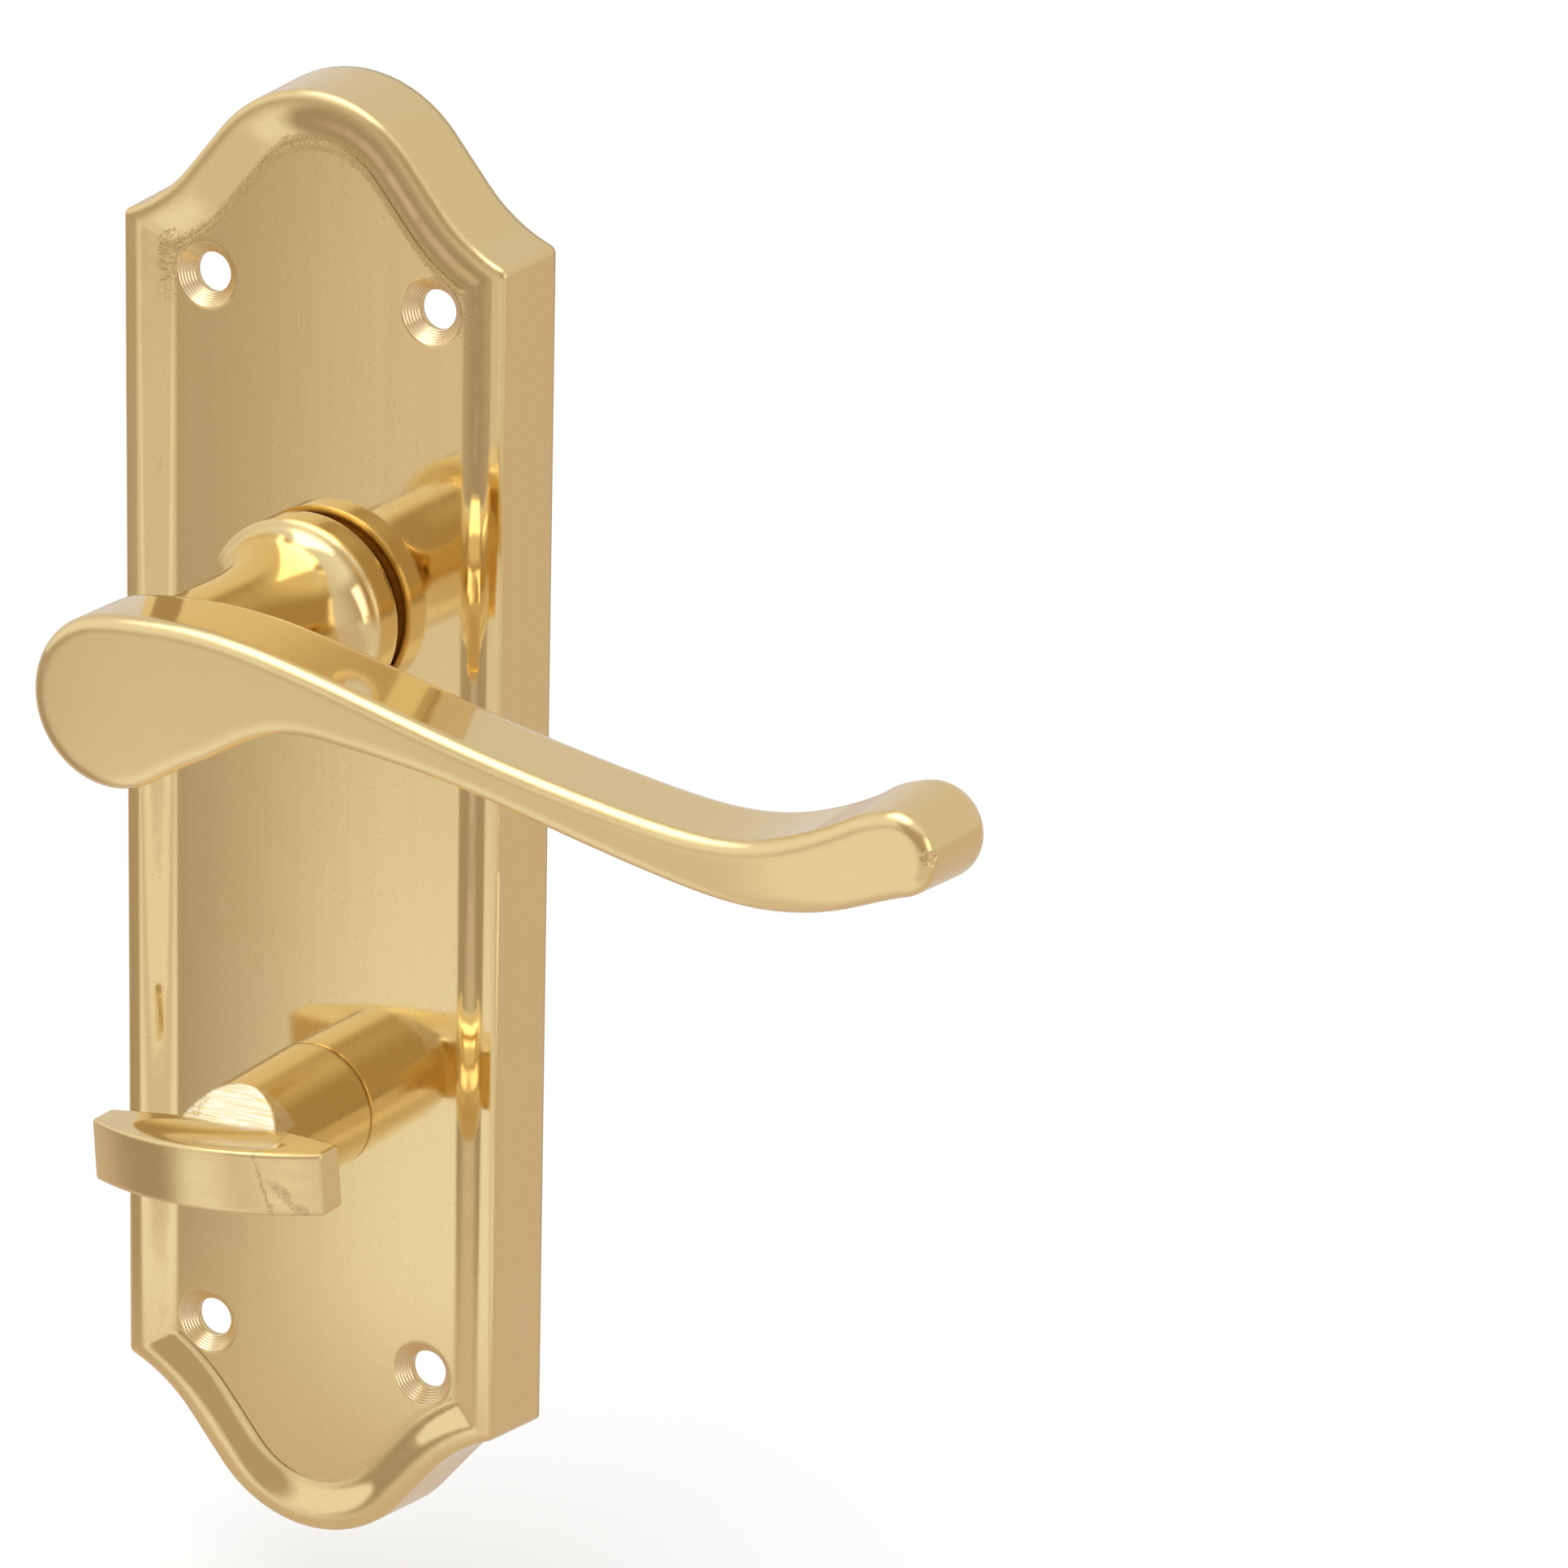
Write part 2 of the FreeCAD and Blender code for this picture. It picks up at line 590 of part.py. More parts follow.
def wave_washer():
    """Flat ring pressed into three waves, which gives the turn its drag."""
    flange, back, flat, clip = turn_stack()
    middle = (flange - STACK_PLAY + back) / 2
    swing = (WAVE_HEIGHT - WAVE_THICK) / 2
    inner = TURN_SHANK_R + PIN_PLAY
    waves = 3
    count = 24
    sections = []
    for radius in (inner, WAVE_R):
        points = []
        for i in range(count):
            angle = 360.0 * i / count
            x, z = polar(radius, angle)
            points.append(V(x, -middle - swing * math.cos(math.radians(waves * angle)), TURN_Z + z))
        curve = Part.BSplineCurve()
        curve.interpolate(Points=points, PeriodicFlag=True)
        sections.append(Part.Wire(curve.toShape()))
    skin = Part.makeRuledSurface(sections[0], sections[1])
    washer = skin.Faces[0].extrude(V(0, -WAVE_THICK, 0))
    washer.translate(V(0, WAVE_THICK / 2, 0))
    return washer


def turn_washer():
    wave_back, flat_back = turn_stack()[1:3]
    return ring(FLAT_WASHER_R, TURN_SHANK_R + PIN_PLAY, flat_back, wave_back - STACK_PLAY, 0, TURN_Z)


save(backplate(), "backplate")
save(lever_bush(), "lever_bush")
save(lever(), "lever")
save(anchor_plate(), "anchor_plate")
save(push_washer(1), "push_washer_upper")
save(push_washer(-1), "push_washer_lower")
save(anchor_pin(), "anchor_pin")
save(return_spring(), "return_spring")
save(cam_plate(), "cam_plate")
save(cam_pin(), "cam_pin")
save(circlip(SHANK_R, clip_depths()[0], clip_depths()[1], 0, 0), "lever_circlip")
save(thumbturn(), "thumbturn")
save(turn_bush(), "turn_bush")
save(wave_washer(), "turn_wave_washer")
save(turn_washer(), "turn_washer")
save(circlip(TURN_SHANK_R, turn_stack()[3], turn_stack()[3] + CLIP_THICK, 0, TURN_Z), "turn_circlip")
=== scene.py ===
# %% [markdown]
# # Bathroom door handle in polished brass
# A lever and a small privacy turn share one moulded backplate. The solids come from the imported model, which is
# a fixed frame: nothing here moves them. This lesson gives them their camera, light and finishes, and adds
# the few pieces that a rule describes better than a solid does, such as the wire of the return spring.

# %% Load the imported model
import math
import bmesh
import bpy
from mathutils import Matrix, Vector


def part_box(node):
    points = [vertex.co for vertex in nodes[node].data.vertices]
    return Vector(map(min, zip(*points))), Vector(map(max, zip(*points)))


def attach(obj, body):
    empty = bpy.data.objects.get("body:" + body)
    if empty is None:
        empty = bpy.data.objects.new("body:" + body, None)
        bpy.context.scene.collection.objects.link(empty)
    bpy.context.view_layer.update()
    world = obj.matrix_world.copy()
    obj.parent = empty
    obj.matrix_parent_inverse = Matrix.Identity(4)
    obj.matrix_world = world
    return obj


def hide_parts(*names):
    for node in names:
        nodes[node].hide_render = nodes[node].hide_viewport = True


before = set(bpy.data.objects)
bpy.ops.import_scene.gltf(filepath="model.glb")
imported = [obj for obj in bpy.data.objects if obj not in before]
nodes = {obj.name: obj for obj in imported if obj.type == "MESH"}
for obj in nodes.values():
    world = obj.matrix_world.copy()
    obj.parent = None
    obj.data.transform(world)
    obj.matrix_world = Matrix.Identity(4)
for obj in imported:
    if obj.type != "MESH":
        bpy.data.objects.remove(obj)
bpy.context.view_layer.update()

print("nodes:", sorted(nodes))

# %% [markdown]
# Everything in Blender is in metres, and a handle is made in millimetres. One factor keeps the numbers readable.

# %% Millimetres
MM = 0.001
print("one millimetre:", MM)

# %% [markdown]
# ## Camera
# The handle is seen from its right and from above. A long lens keeps the plate's long sides almost parallel.
# The camera is placed by two angles round a target on the door's plane, a small roll and a distance, because
# these are the numbers that a photographer would change.

# %% Camera angles and distance
CAMERA_TURN = 28.58
CAMERA_RISE = 18.50
CAMERA_ROLL = 1.44
CAMERA_TARGET = Vector((52.81 * MM, 0.0, -12.48 * MM))
CAMERA_DISTANCE = 766.35 * MM
LENS = 167.73
SENSOR = 36.0
CLIP = (0.01, 20.0)


def camera_axes(turn, rise, roll):
    """Right, up and backward directions of a camera that looks at its target."""
    a, e, r = (math.radians(v) for v in (turn, rise, roll))
    back = Vector((math.sin(a) * math.cos(e), -math.cos(a) * math.cos(e), math.sin(e)))
    right = Vector((math.cos(a), math.sin(a), 0.0))
    up = back.cross(right)
    return right * math.cos(r) + up * math.sin(r), up * math.cos(r) - right * math.sin(r), back


right, up, back = camera_axes(CAMERA_TURN, CAMERA_RISE, CAMERA_ROLL)
camera_data = bpy.data.cameras.new("camera")
camera_data.sensor_width = SENSOR
camera_data.lens = LENS
camera_data.clip_start, camera_data.clip_end = CLIP
camera = bpy.data.objects.new("camera", camera_data)
camera_place = Matrix((right, up, back)).transposed().to_4x4()
camera_place.translation = CAMERA_TARGET + back * CAMERA_DISTANCE
camera.matrix_world = camera_place
bpy.context.scene.collection.objects.link(camera)
bpy.context.scene.camera = camera
bpy.context.scene.view_settings.view_transform = "Standard"
print("camera at, in metres:", [round(v, 3) for v in camera.location])

# %% [markdown]
# ## Small helpers for node trees
# Every finish below is a tree of nodes. Short helpers make a node, set its values and join it to others, so that
# each cell shows the idea of a finish and not the bookkeeping.

# %% Node helpers


def add_node(tree, kind, inputs=None, **settings):
    """A node with its settings, and its inputs set to numbers or joined to other nodes' outputs."""
    node = tree.nodes.new(kind)
    for name, value in settings.items():
        setattr(node, name, value)
    for name, value in (inputs or {}).items():
        if isinstance(value, bpy.types.NodeSocket):
            tree.links.new(value, node.inputs[name])
        else:
            node.inputs[name].default_value = value
    return node


def maths(tree, operation, a, b=0.0, clamp=False):
    """The result of one Math node."""
    node = add_node(tree, "ShaderNodeMath", {0: a, 1: b}, operation=operation, use_clamp=clamp)
    return node.outputs[0]


def ramp(tree, value, low, high, to_low=0.0, to_high=1.0):
    """A smooth step: to_low below low, to_high above high."""
    node = add_node(tree, "ShaderNodeMapRange",
                    {"Value": value, "From Min": low, "From Max": high, "To Min": to_low, "To Max": to_high},
                    interpolation_type="SMOOTHSTEP")
    return node.outputs["Result"]


def masked(tree, value, low, high, soft):
    """1 between two values and 0 outside them, with a soft step at each."""
    rising = ramp(tree, value, low - soft, low)
    falling = ramp(tree, value, high, high + soft, 1.0, 0.0)
    return maths(tree, "MULTIPLY", rising, falling)


def plus(tree, value, mask, amount):
    """A value, raised by an amount where a mask is 1."""
    return maths(tree, "ADD", value, maths(tree, "MULTIPLY", mask, amount))


def blend_values(tree, factor, first, second):
    """A number between two numbers."""
    return add_node(tree, "ShaderNodeMix", {0: factor, 2: first, 3: second}, data_type="FLOAT").outputs[0]


def mix_colour(tree, factor, first, second):
    """Two colours, mixed by a factor."""
    node = add_node(tree, "ShaderNodeMix", data_type="RGBA")
    for index, value in ((0, factor), (6, first), (7, second)):
        if isinstance(value, bpy.types.NodeSocket):
            tree.links.new(value, node.inputs[index])
        else:
            node.inputs[index].default_value = value
    return node.outputs[2]


def tinted(tree, colour, mask, strength, tint):
    """A colour, mixed with a tint by a mask and a strength."""
    return mix_colour(tree, maths(tree, "MULTIPLY", mask, strength), colour, tint)


def object_place(tree):
    """The place on the object, from its origin."""
    return add_node(tree, "ShaderNodeTexCoord").outputs["Object"]


def parts_of(tree, vector):
    """The three parts of a vector."""
    return add_node(tree, "ShaderNodeSeparateXYZ", {0: vector}).outputs


def in_reflection(tree, path):
    """1 for rays that come from a mirror or through glass, 0 for all others."""
    return maths(tree, "MAXIMUM", path.outputs["Is Glossy Ray"], path.outputs["Is Transmission Ray"])


def fresh_material(name):
    """An empty material with a Principled BSDF joined to its output."""
    material = bpy.data.materials.new(name)
    material.use_nodes = True
    tree = material.node_tree
    tree.nodes.clear()
    shader = add_node(tree, "ShaderNodeBsdfPrincipled")
    add_node(tree, "ShaderNodeOutputMaterial", {"Surface": shader.outputs[0]})
    return material, tree, shader


def fresh_group(name, inputs, outputs):
    """A shader node group. Inputs are (name, kind, default) and outputs are (name, kind)."""
    tree = bpy.data.node_groups.new(name, "ShaderNodeTree")
    for label, kind, default in inputs:
        socket = tree.interface.new_socket(label, in_out="INPUT", socket_type="NodeSocket" + kind)
        if default is not None:
            socket.default_value = default
    for label, kind in outputs:
        tree.interface.new_socket(label, in_out="OUTPUT", socket_type="NodeSocket" + kind)
    return tree, tree.nodes.new("NodeGroupInput").outputs, tree.nodes.new("NodeGroupOutput").inputs


def use_group(tree, group, **inputs):
    """One copy of a group in a material. Spaces in socket names are written as underscores."""
    node = tree.nodes.new("ShaderNodeGroup")
    node.node_tree = group
    for name, value in inputs.items():
        socket = node.inputs[name.replace("_", " ")]
        if isinstance(value, bpy.types.NodeSocket):
            tree.links.new(value, socket)
        else:
            socket.default_value = value
    return node.outputs


print("helpers ready")

# %% [markdown]
# ## Floor, sky and lamps
# Polished metal shows its surroundings more than its own colour, so the room matters as much as the material.
# The floor is a wide pale sheet that takes the handle's shadow. It is stage, not part of the handle.

# %% Floor sheet
FLOOR_HEIGHT = -118.0 * MM
FLOOR_HALF = 3.0

floor_mesh = bpy.data.meshes.new("floor")
corners = [(x * FLOOR_HALF, y * FLOOR_HALF, FLOOR_HEIGHT) for x, y in ((-1, -1), (1, -1), (1, 1), (-1, 1))]
floor_mesh.from_pydata(corners, [], [(0, 1, 2, 3)])
floor = bpy.data.objects.new("floor", floor_mesh)
bpy.context.scene.collection.objects.link(floor)
print("floor height in mm:", round(FLOOR_HEIGHT / MM))

# %% [markdown]
# To the camera the floor has a little light of its own, which grows as the floor runs back. So it looks nearly
# white, and the handle's shadow stays on it.

# %% Floor as the camera sees it
WHITE = (1.0, 1.0, 1.0, 1.0)
FLOOR_SHADE = (0.80, 0.80, 0.80, 1.0)
FLOOR_ROUGHNESS = 0.9
FLOOR_GLOW = (0.50, 0.60)
GLOW_REACH = (150 * MM, 600 * MM)

floor_material, tree, shader = fresh_material("pale_floor")
shader.inputs["Base Color"].default_value = FLOOR_SHADE
shader.inputs["Roughness"].default_value = FLOOR_ROUGHNESS
shader.inputs["Emission Color"].default_value = WHITE
path = add_node(tree, "ShaderNodeLightPath")
where = parts_of(tree, object_place(tree))
own_glow = ramp(tree, where[1], *GLOW_REACH, *FLOOR_GLOW)
seen_glow = maths(tree, "MULTIPLY", path.outputs["Is Camera Ray"], own_glow)
tree.links.new(seen_glow, shader.inputs["Emission Strength"])
floor_mesh.materials.append(floor_material)
print("floor's own glow:", FLOOR_GLOW)

# %% [markdown]
# In the metal the floor is a pool of light with a warm shade to its left. The pool's edge runs along the camera's
# own slant, so that the flat panel shows one slow gradient. Near the handle the pool is white. It is duller at
# its right and far away, and dim beyond that. One bright strip at the right lights the lever's tip, and the floor
# at the handle's foot and behind it is warm and grey.

# %% Floor as the metal sees it
NEAR_SHADE = (0.44, 0.36, 0.28, 1.0)
FAR_SHADE = (0.54, 0.46, 0.39, 1.0)
NEAR_LIGHT = (0.96, 0.95, 0.95, 1.0)
FAR_LIGHT = (0.76, 0.70, 0.65, 1.0)
RIGHT_LIGHT = (0.93, 0.89, 0.85, 1.0)
BACK_LIGHT = (0.68, 0.58, 0.50, 1.0)
DISTANT_SHADE = (0.40, 0.32, 0.25, 1.0)
POOL_SLANT = camera.location.x / -camera.location.y
POOL_EDGES = (-28 * MM, 22 * MM)
POOL_REACH = (-420 * MM, -90 * MM)
POOL_FOOT = (-105 * MM, -30 * MM)
POOL_NEAR_END = (50 * MM, 90 * MM)
POOL_RIGHT = (134 * MM, 200 * MM, 12 * MM)
POOL_END = (-1100 * MM, -480 * MM)

across = maths(tree, "SUBTRACT", where[0], maths(tree, "MULTIPLY", where[1], POOL_SLANT))
near = ramp(tree, where[1], *POOL_REACH)
near_lit = mix_colour(tree, ramp(tree, across, *POOL_NEAR_END), NEAR_LIGHT, FAR_LIGHT)
lit = mix_colour(tree, near, FAR_LIGHT, near_lit)
lit = mix_colour(tree, masked(tree, across, *POOL_RIGHT), lit, RIGHT_LIGHT)
shade = mix_colour(tree, near, FAR_SHADE, NEAR_SHADE)
front = mix_colour(tree, ramp(tree, across, *POOL_EDGES), shade, lit)
front = mix_colour(tree, ramp(tree, where[1], *POOL_END), DISTANT_SHADE, front)
pool = mix_colour(tree, ramp(tree, where[1], *POOL_FOOT), front, BACK_LIGHT)
glow = add_node(tree, "ShaderNodeEmission", {"Color": pool, "Strength": 1.0})
choice = add_node(tree, "ShaderNodeMixShader",
                  {0: in_reflection(tree, path), 1: shader.outputs[0], 2: glow.outputs[0]})
output = next(n for n in tree.nodes if n.type == "OUTPUT_MATERIAL")
tree.links.new(choice.outputs[0], output.inputs["Surface"])
print("pool edges in mm:", [round(v / MM) for v in POOL_EDGES])

# %% [markdown]
# The sky is the studio's wall. It lights the handle gently and evenly. The camera sees it white. In the metal
# the wall behind the handle is a little grey, and the wall in front is white at the left, where the window is,
# and dim on the camera's side, so that rounded edges and doubled reflections get their brown tones.

# %% Sky
SKY_LIGHT = 0.42
SKY_BEHIND = (0.75, 0.70, 0.64, 1.0)
SKY_LEFT = (0.96, 0.94, 0.91, 1.0)
SKY_CAMERA_SIDE = (0.52, 0.43, 0.34, 1.0)
SKY_ABOVE = (0.96, 0.95, 0.93, 1.0)
SKY_TURN = (-0.42, -0.24)
SKY_RISE = (0.50, 0.75)
SKY_DEPTH = (-0.30, 0.40)

world = bpy.data.worlds.new("studio")
world.use_nodes = True
bpy.context.scene.world = world
sky = world.node_tree
sky.nodes.clear()
path = add_node(sky, "ShaderNodeLightPath")
way = parts_of(sky, add_node(sky, "ShaderNodeTexCoord").outputs["Generated"])
in_front = mix_colour(sky, ramp(sky, way[0], *SKY_TURN), SKY_LEFT, SKY_CAMERA_SIDE)
in_front = mix_colour(sky, ramp(sky, way[2], *SKY_RISE), in_front, SKY_ABOVE)
tone = mix_colour(sky, ramp(sky, way[1], *SKY_DEPTH), in_front, SKY_BEHIND)
colour = mix_colour(sky, in_reflection(sky, path), (SKY_LIGHT, SKY_LIGHT, SKY_LIGHT, 1.0), tone)
colour = mix_colour(sky, path.outputs["Is Camera Ray"], colour, WHITE)
background = add_node(sky, "ShaderNodeBackground", {"Color": colour, "Strength": 1.0})
add_node(sky, "ShaderNodeOutputWorld", {"Surface": background.outputs[0]})
print("sky light:", SKY_LIGHT)

# %% [markdown]
# Large soft lamps draw the bright bands along rounded edges. A lamp's brightness in the metal is its power
# divided by its area and by pi, so each one is given the brightness that its band should have.

# %% Lamps


def soft_lamp(name, direction, distance, size, brightness):
    """A square lamp that faces the handle from a direction."""
    data = bpy.data.lights.new(name, "AREA")
    data.shape = "RECTANGLE"
    data.size, data.size_y = size
    data.energy = brightness * math.pi * size[0] * size[1]
    lamp = bpy.data.objects.new(name, data)
    towards = Vector(direction).normalized()
    lamp.rotation_mode = "QUATERNION"
    lamp.rotation_quaternion = towards.to_track_quat("Z", "Y")
    lamp.location = CAMERA_TARGET + towards * distance
    bpy.context.scene.collection.objects.link(lamp)
    return lamp


soft_lamp("lamp_above", direction=(-0.22, -0.30, 0.92), distance=1.1, size=(0.9, 0.75), brightness=1.75)
soft_lamp("lamp_right", direction=(0.90, -0.40, 0.20), distance=1.3, size=(0.5, 1.0), brightness=1.6)

# %% [markdown]
# ## What the brass shows up close
# Cast brass is filed, brushed and buffed. Its tone drifts a little, the brush leaves fine strokes along each
# face, and the buffing wheel misses pits and the granular skin of the mould in tight corners. Each of these is
# one node group, built once and placed in each brass with its own sizes.

# %% Drifting tone of the metal
tone_group, given, made = fresh_group(
    "brass_tone",
    [("Vector", "Vector", None), ("Pale", "Color", (0.8, 0.6, 0.3, 1)), ("Deep", "Color", (0.7, 0.5, 0.2, 1)),
     ("Patch Size", "Float", 0.01), ("Contrast", "Float", 1.0)],
    [("Color", "Color")])
scale = maths(tone_group, "DIVIDE", 1.0, given["Patch Size"])
cloud = add_node(tone_group, "ShaderNodeTexNoise", {"Vector": given["Vector"], "Scale": scale, "Detail": 3.0})
share = maths(tone_group, "SUBTRACT", cloud.outputs["Fac"], 0.5)
share = maths(tone_group, "MULTIPLY", share, given["Contrast"])
share = maths(tone_group, "ADD", share, 0.5, clamp=True)
tone_group.links.new(mix_colour(tone_group, share, given["Pale"], given["Deep"]), made["Color"])
print("group:", tone_group.name)

# %% [markdown]
# A brush leaves strokes of two widths: fine ones that catch the light as relief, and wide streaks that make the
# metal here a little smoother and there a little rougher. The group gives both, and the caller stretches them.

# %% Strokes of the brush
STREAK_SCALE = 0.18

stroke_group, given, made = fresh_group(
    "brush_strokes",
    [("Vector", "Vector", None), ("Stroke Width", "Float", 0.0002)],
    [("Height", "Float"), ("Streak", "Float")])
scale = maths(stroke_group, "DIVIDE", 1.0, given["Stroke Width"])
fine = add_node(stroke_group, "ShaderNodeTexNoise",
                {"Vector": given["Vector"], "Scale": scale, "Detail": 3.0, "Roughness": 0.65})
wide_scale = maths(stroke_group, "MULTIPLY", scale, STREAK_SCALE)
wide = add_node(stroke_group, "ShaderNodeTexNoise",
                {"Vector": given["Vector"], "Scale": wide_scale, "Detail": 2.0})
stroke_group.links.new(fine.outputs["Fac"], made["Height"])
stroke_group.links.new(wide.outputs["Fac"], made["Streak"])
print("group:", stroke_group.name)

# %% [markdown]
# Pits are small, round and scattered. Each cell of a Voronoi pattern draws its own two numbers: whether it has a
# pit at all, and how large the pit is.

# %% Pits that the buffing wheel missed
PIT_STEEPNESS = 40.0

pit_group, given, made = fresh_group(
    "small_pits",
    [("Vector", "Vector", None), ("Spacing", "Float", 0.002), ("Pit Size", "Float", 0.1),
     ("Share", "Float", 0.3)],
    [("Mask", "Float")])
cells = add_node(pit_group, "ShaderNodeTexVoronoi",
                 {"Vector": given["Vector"], "Scale": maths(pit_group, "DIVIDE", 1.0, given["Spacing"])})
chance = add_node(pit_group, "ShaderNodeSeparateColor", {"Color": cells.outputs["Color"]})
present = maths(pit_group, "LESS_THAN", chance.outputs[0], given["Share"])
radius = maths(pit_group, "MULTIPLY", chance.outputs[1], given["Pit Size"])
inside = maths(pit_group, "SUBTRACT", radius, cells.outputs["Distance"])
inside = maths(pit_group, "MULTIPLY", inside, PIT_STEEPNESS, clamp=True)
pit_group.links.new(maths(pit_group, "MULTIPLY", inside, present), made["Mask"])
print("group:", pit_group.name)

# %% [markdown]
# The skin of the mould is a crowd of small grains. The group takes a rough place for it, between 0 and 1, and
# frays its border grain by grain, so that it fades into the polish as it does where a wheel has worn it away.

# %% Granular skin of the casting
PATCH_SCALE = 0.22
GRAIN_DOUBT, PATCH_DOUBT = 0.80, 0.35
FRAY_WIDTH = 0.10
FAINTEST_GRAIN = 0.15

skin_group, given, made = fresh_group(
    "cast_skin",
    [("Vector", "Vector", None), ("Place", "Float", 0.0), ("Grain Size", "Float", 0.00025)],
    [("Mask", "Float"), ("Height", "Float")])
scale = maths(skin_group, "DIVIDE", 1.0, given["Grain Size"])
grains = add_node(skin_group, "ShaderNodeTexVoronoi", {"Vector": given["Vector"], "Scale": scale})
patch_scale = maths(skin_group, "MULTIPLY", scale, PATCH_SCALE)
patches = add_node(skin_group, "ShaderNodeTexNoise",
                   {"Vector": given["Vector"], "Scale": patch_scale, "Detail": 2.0})
own = add_node(skin_group, "ShaderNodeSeparateColor", {"Color": grains.outputs["Color"]}).outputs
doubt = plus(skin_group, maths(skin_group, "MULTIPLY", own[0], GRAIN_DOUBT), patches.outputs["Fac"], PATCH_DOUBT)
fray = ramp(skin_group, maths(skin_group, "SUBTRACT", given["Place"], doubt), -FRAY_WIDTH, FRAY_WIDTH)
speck = plus(skin_group, FAINTEST_GRAIN, own[1], 1.0 - FAINTEST_GRAIN)
skin_group.links.new(maths(skin_group, "MULTIPLY", fray, speck), made["Mask"])
dome = maths(skin_group, "SUBTRACT", 1.0, grains.outputs["Distance"])
skin_group.links.new(maths(skin_group, "MULTIPLY", dome, fray), made["Height"])
print("group:", skin_group.name)

# %% [markdown]
# ## The three brasses
# Base colour, roughness and bump carry the finish. The metal is lacquered, and a thin clear coat makes its
# lightest reflections a little paler than its colour. Polishing rolls every edge over, further than the solids
# do. A Bevel node bends the shading near an edge by a radius, and so gives each edge its soft roll.

# %% What the brasses share
BRASS_PALE = (0.87, 0.69, 0.36, 1.0)
BRASS_DEEP = (0.86, 0.67, 0.33, 1.0)
BRASS_DULL = (0.82, 0.64, 0.31, 1.0)
SKIN_BROWN = (0.52, 0.37, 0.12, 1.0)
PIT_BROWN = (0.42, 0.26, 0.10, 1.0)
MOTTLE_SIZE = 0.28 * MM
PIT_TINT = 0.75
STREAKS = (0.3, 0.7)
BUMP_DISTANCE = 0.02 * MM
BEVEL_SAMPLES = 6
COAT_WEIGHT, COAT_ROUGHNESS = 0.8, 0.10


def strokes_along(tree, place, stretch, width):
    """Brush strokes that run along the axis with the smallest stretch."""
    along = add_node(tree, "ShaderNodeMapping", {"Vector": place, "Scale": stretch}).outputs[0]
    return use_group(tree, stroke_group, Vector=along, Stroke_Width=width)


def frayed(tree, value, place, size, reach, detail):
    """A value that wavers by up to half a reach, in lumps of a size."""
    lumps = add_node(tree, "ShaderNodeTexNoise", {"Vector": place, "Scale": 1.0 / size, "Detail": detail})
    return plus(tree, value, maths(tree, "SUBTRACT", lumps.outputs["Fac"], 0.5), reach)


def brass_colour(tree, place, patch, pits, mottle):
    """Brass that drifts slowly over a patch, with dark pits and a fine mottle of the given contrast."""
    slow = use_group(tree, tone_group, Vector=place, Pale=BRASS_PALE, Deep=BRASS_DEEP, Patch_Size=patch)
    fine = use_group(tree, tone_group, Vector=place, Pale=slow["Color"], Deep=BRASS_DULL,
                     Patch_Size=MOTTLE_SIZE, Contrast=mottle)
    return tinted(tree, fine["Color"], pits["Mask"], PIT_TINT, PIT_BROWN)


def close_brass(tree, shader, colour, rough, height, bump, roll):
    """Joins a brass's colour, roughness and relief to its shader, with its edges rolled over by a radius."""
    rolled = add_node(tree, "ShaderNodeBevel", {"Radius": roll}, samples=BEVEL_SAMPLES)
    relief = add_node(tree, "ShaderNodeBump", {
        "Height": height, "Strength": bump, "Distance": BUMP_DISTANCE, "Normal": rolled.outputs[0]})
    tree.links.new(colour, shader.inputs["Base Color"])
    tree.links.new(rough, shader.inputs["Roughness"])
    tree.links.new(relief.outputs[0], shader.inputs["Normal"])
    shader.inputs["Metallic"].default_value = 1.0
    shader.inputs["Coat Weight"].default_value = COAT_WEIGHT
    shader.inputs["Coat Roughness"].default_value = COAT_ROUGHNESS


print("shared values ready")

# %% [markdown]
# The backplate's panel is brushed up and down and its side walls are only linished. Along the crease of the upper
# arch and in the arch's two corners the mould's skin is left. Where the crease runs is a short curve of height
# over distance from the middle. The distance below it says how much skin there is.

# %% Where the backplate keeps its skin
PANEL_DEPTH = 8.2 * MM
CREASE_X = 20 * MM
CREASE_LOW, CREASE_HIGH = 32 * MM, 54 * MM
CREASE = [(0.0, 51.0), (2.4, 50.7), (4.6, 49.8), (6.9, 47.8),
          (10.2, 43.9), (12.6, 41.2), (15.0, 39.0), (18.0, 37.4)]
CREASE_BAND = (-0.2 * MM, 0.5 * MM, 1.0 * MM)
CORNER_ASIDE, CORNER_SHARE = (16.2 * MM, 18.8 * MM), 0.68
CORNER_RISE = (36 * MM, 40 * MM, 8 * MM)
PANEL_BAND = (PANEL_DEPTH - 0.3 * MM, PANEL_DEPTH + 0.4 * MM, 0.2 * MM)
PANEL_FACING = (0.5, 0.85)
WALL_FACING = (0.25, 0.6)
SKIN_GRAIN = 0.21 * MM

plate_brass, tree, shader = fresh_material("plate_brass")
place = object_place(tree)
x, y, z = parts_of(tree, place)
aside = maths(tree, "ABSOLUTE", x)
crease = add_node(tree, "ShaderNodeFloatCurve", {"Value": maths(tree, "DIVIDE", aside, CREASE_X)})
line = crease.mapping.curves[0].points
for _ in CREASE[1:-1]:
    line.new(0.5, 0.5)
for point, (across, height) in zip(line, CREASE):
    point.location = (across * MM / CREASE_X, (height * MM - CREASE_LOW) / (CREASE_HIGH - CREASE_LOW))
crease.mapping.update()
crease_z = plus(tree, CREASE_LOW, crease.outputs[0], CREASE_HIGH - CREASE_LOW)
near_crease = masked(tree, maths(tree, "SUBTRACT", crease_z, z), *CREASE_BAND)
in_corner = maths(tree, "MULTIPLY", ramp(tree, aside, *CORNER_ASIDE, 0.0, CORNER_SHARE),
                  masked(tree, z, *CORNER_RISE))
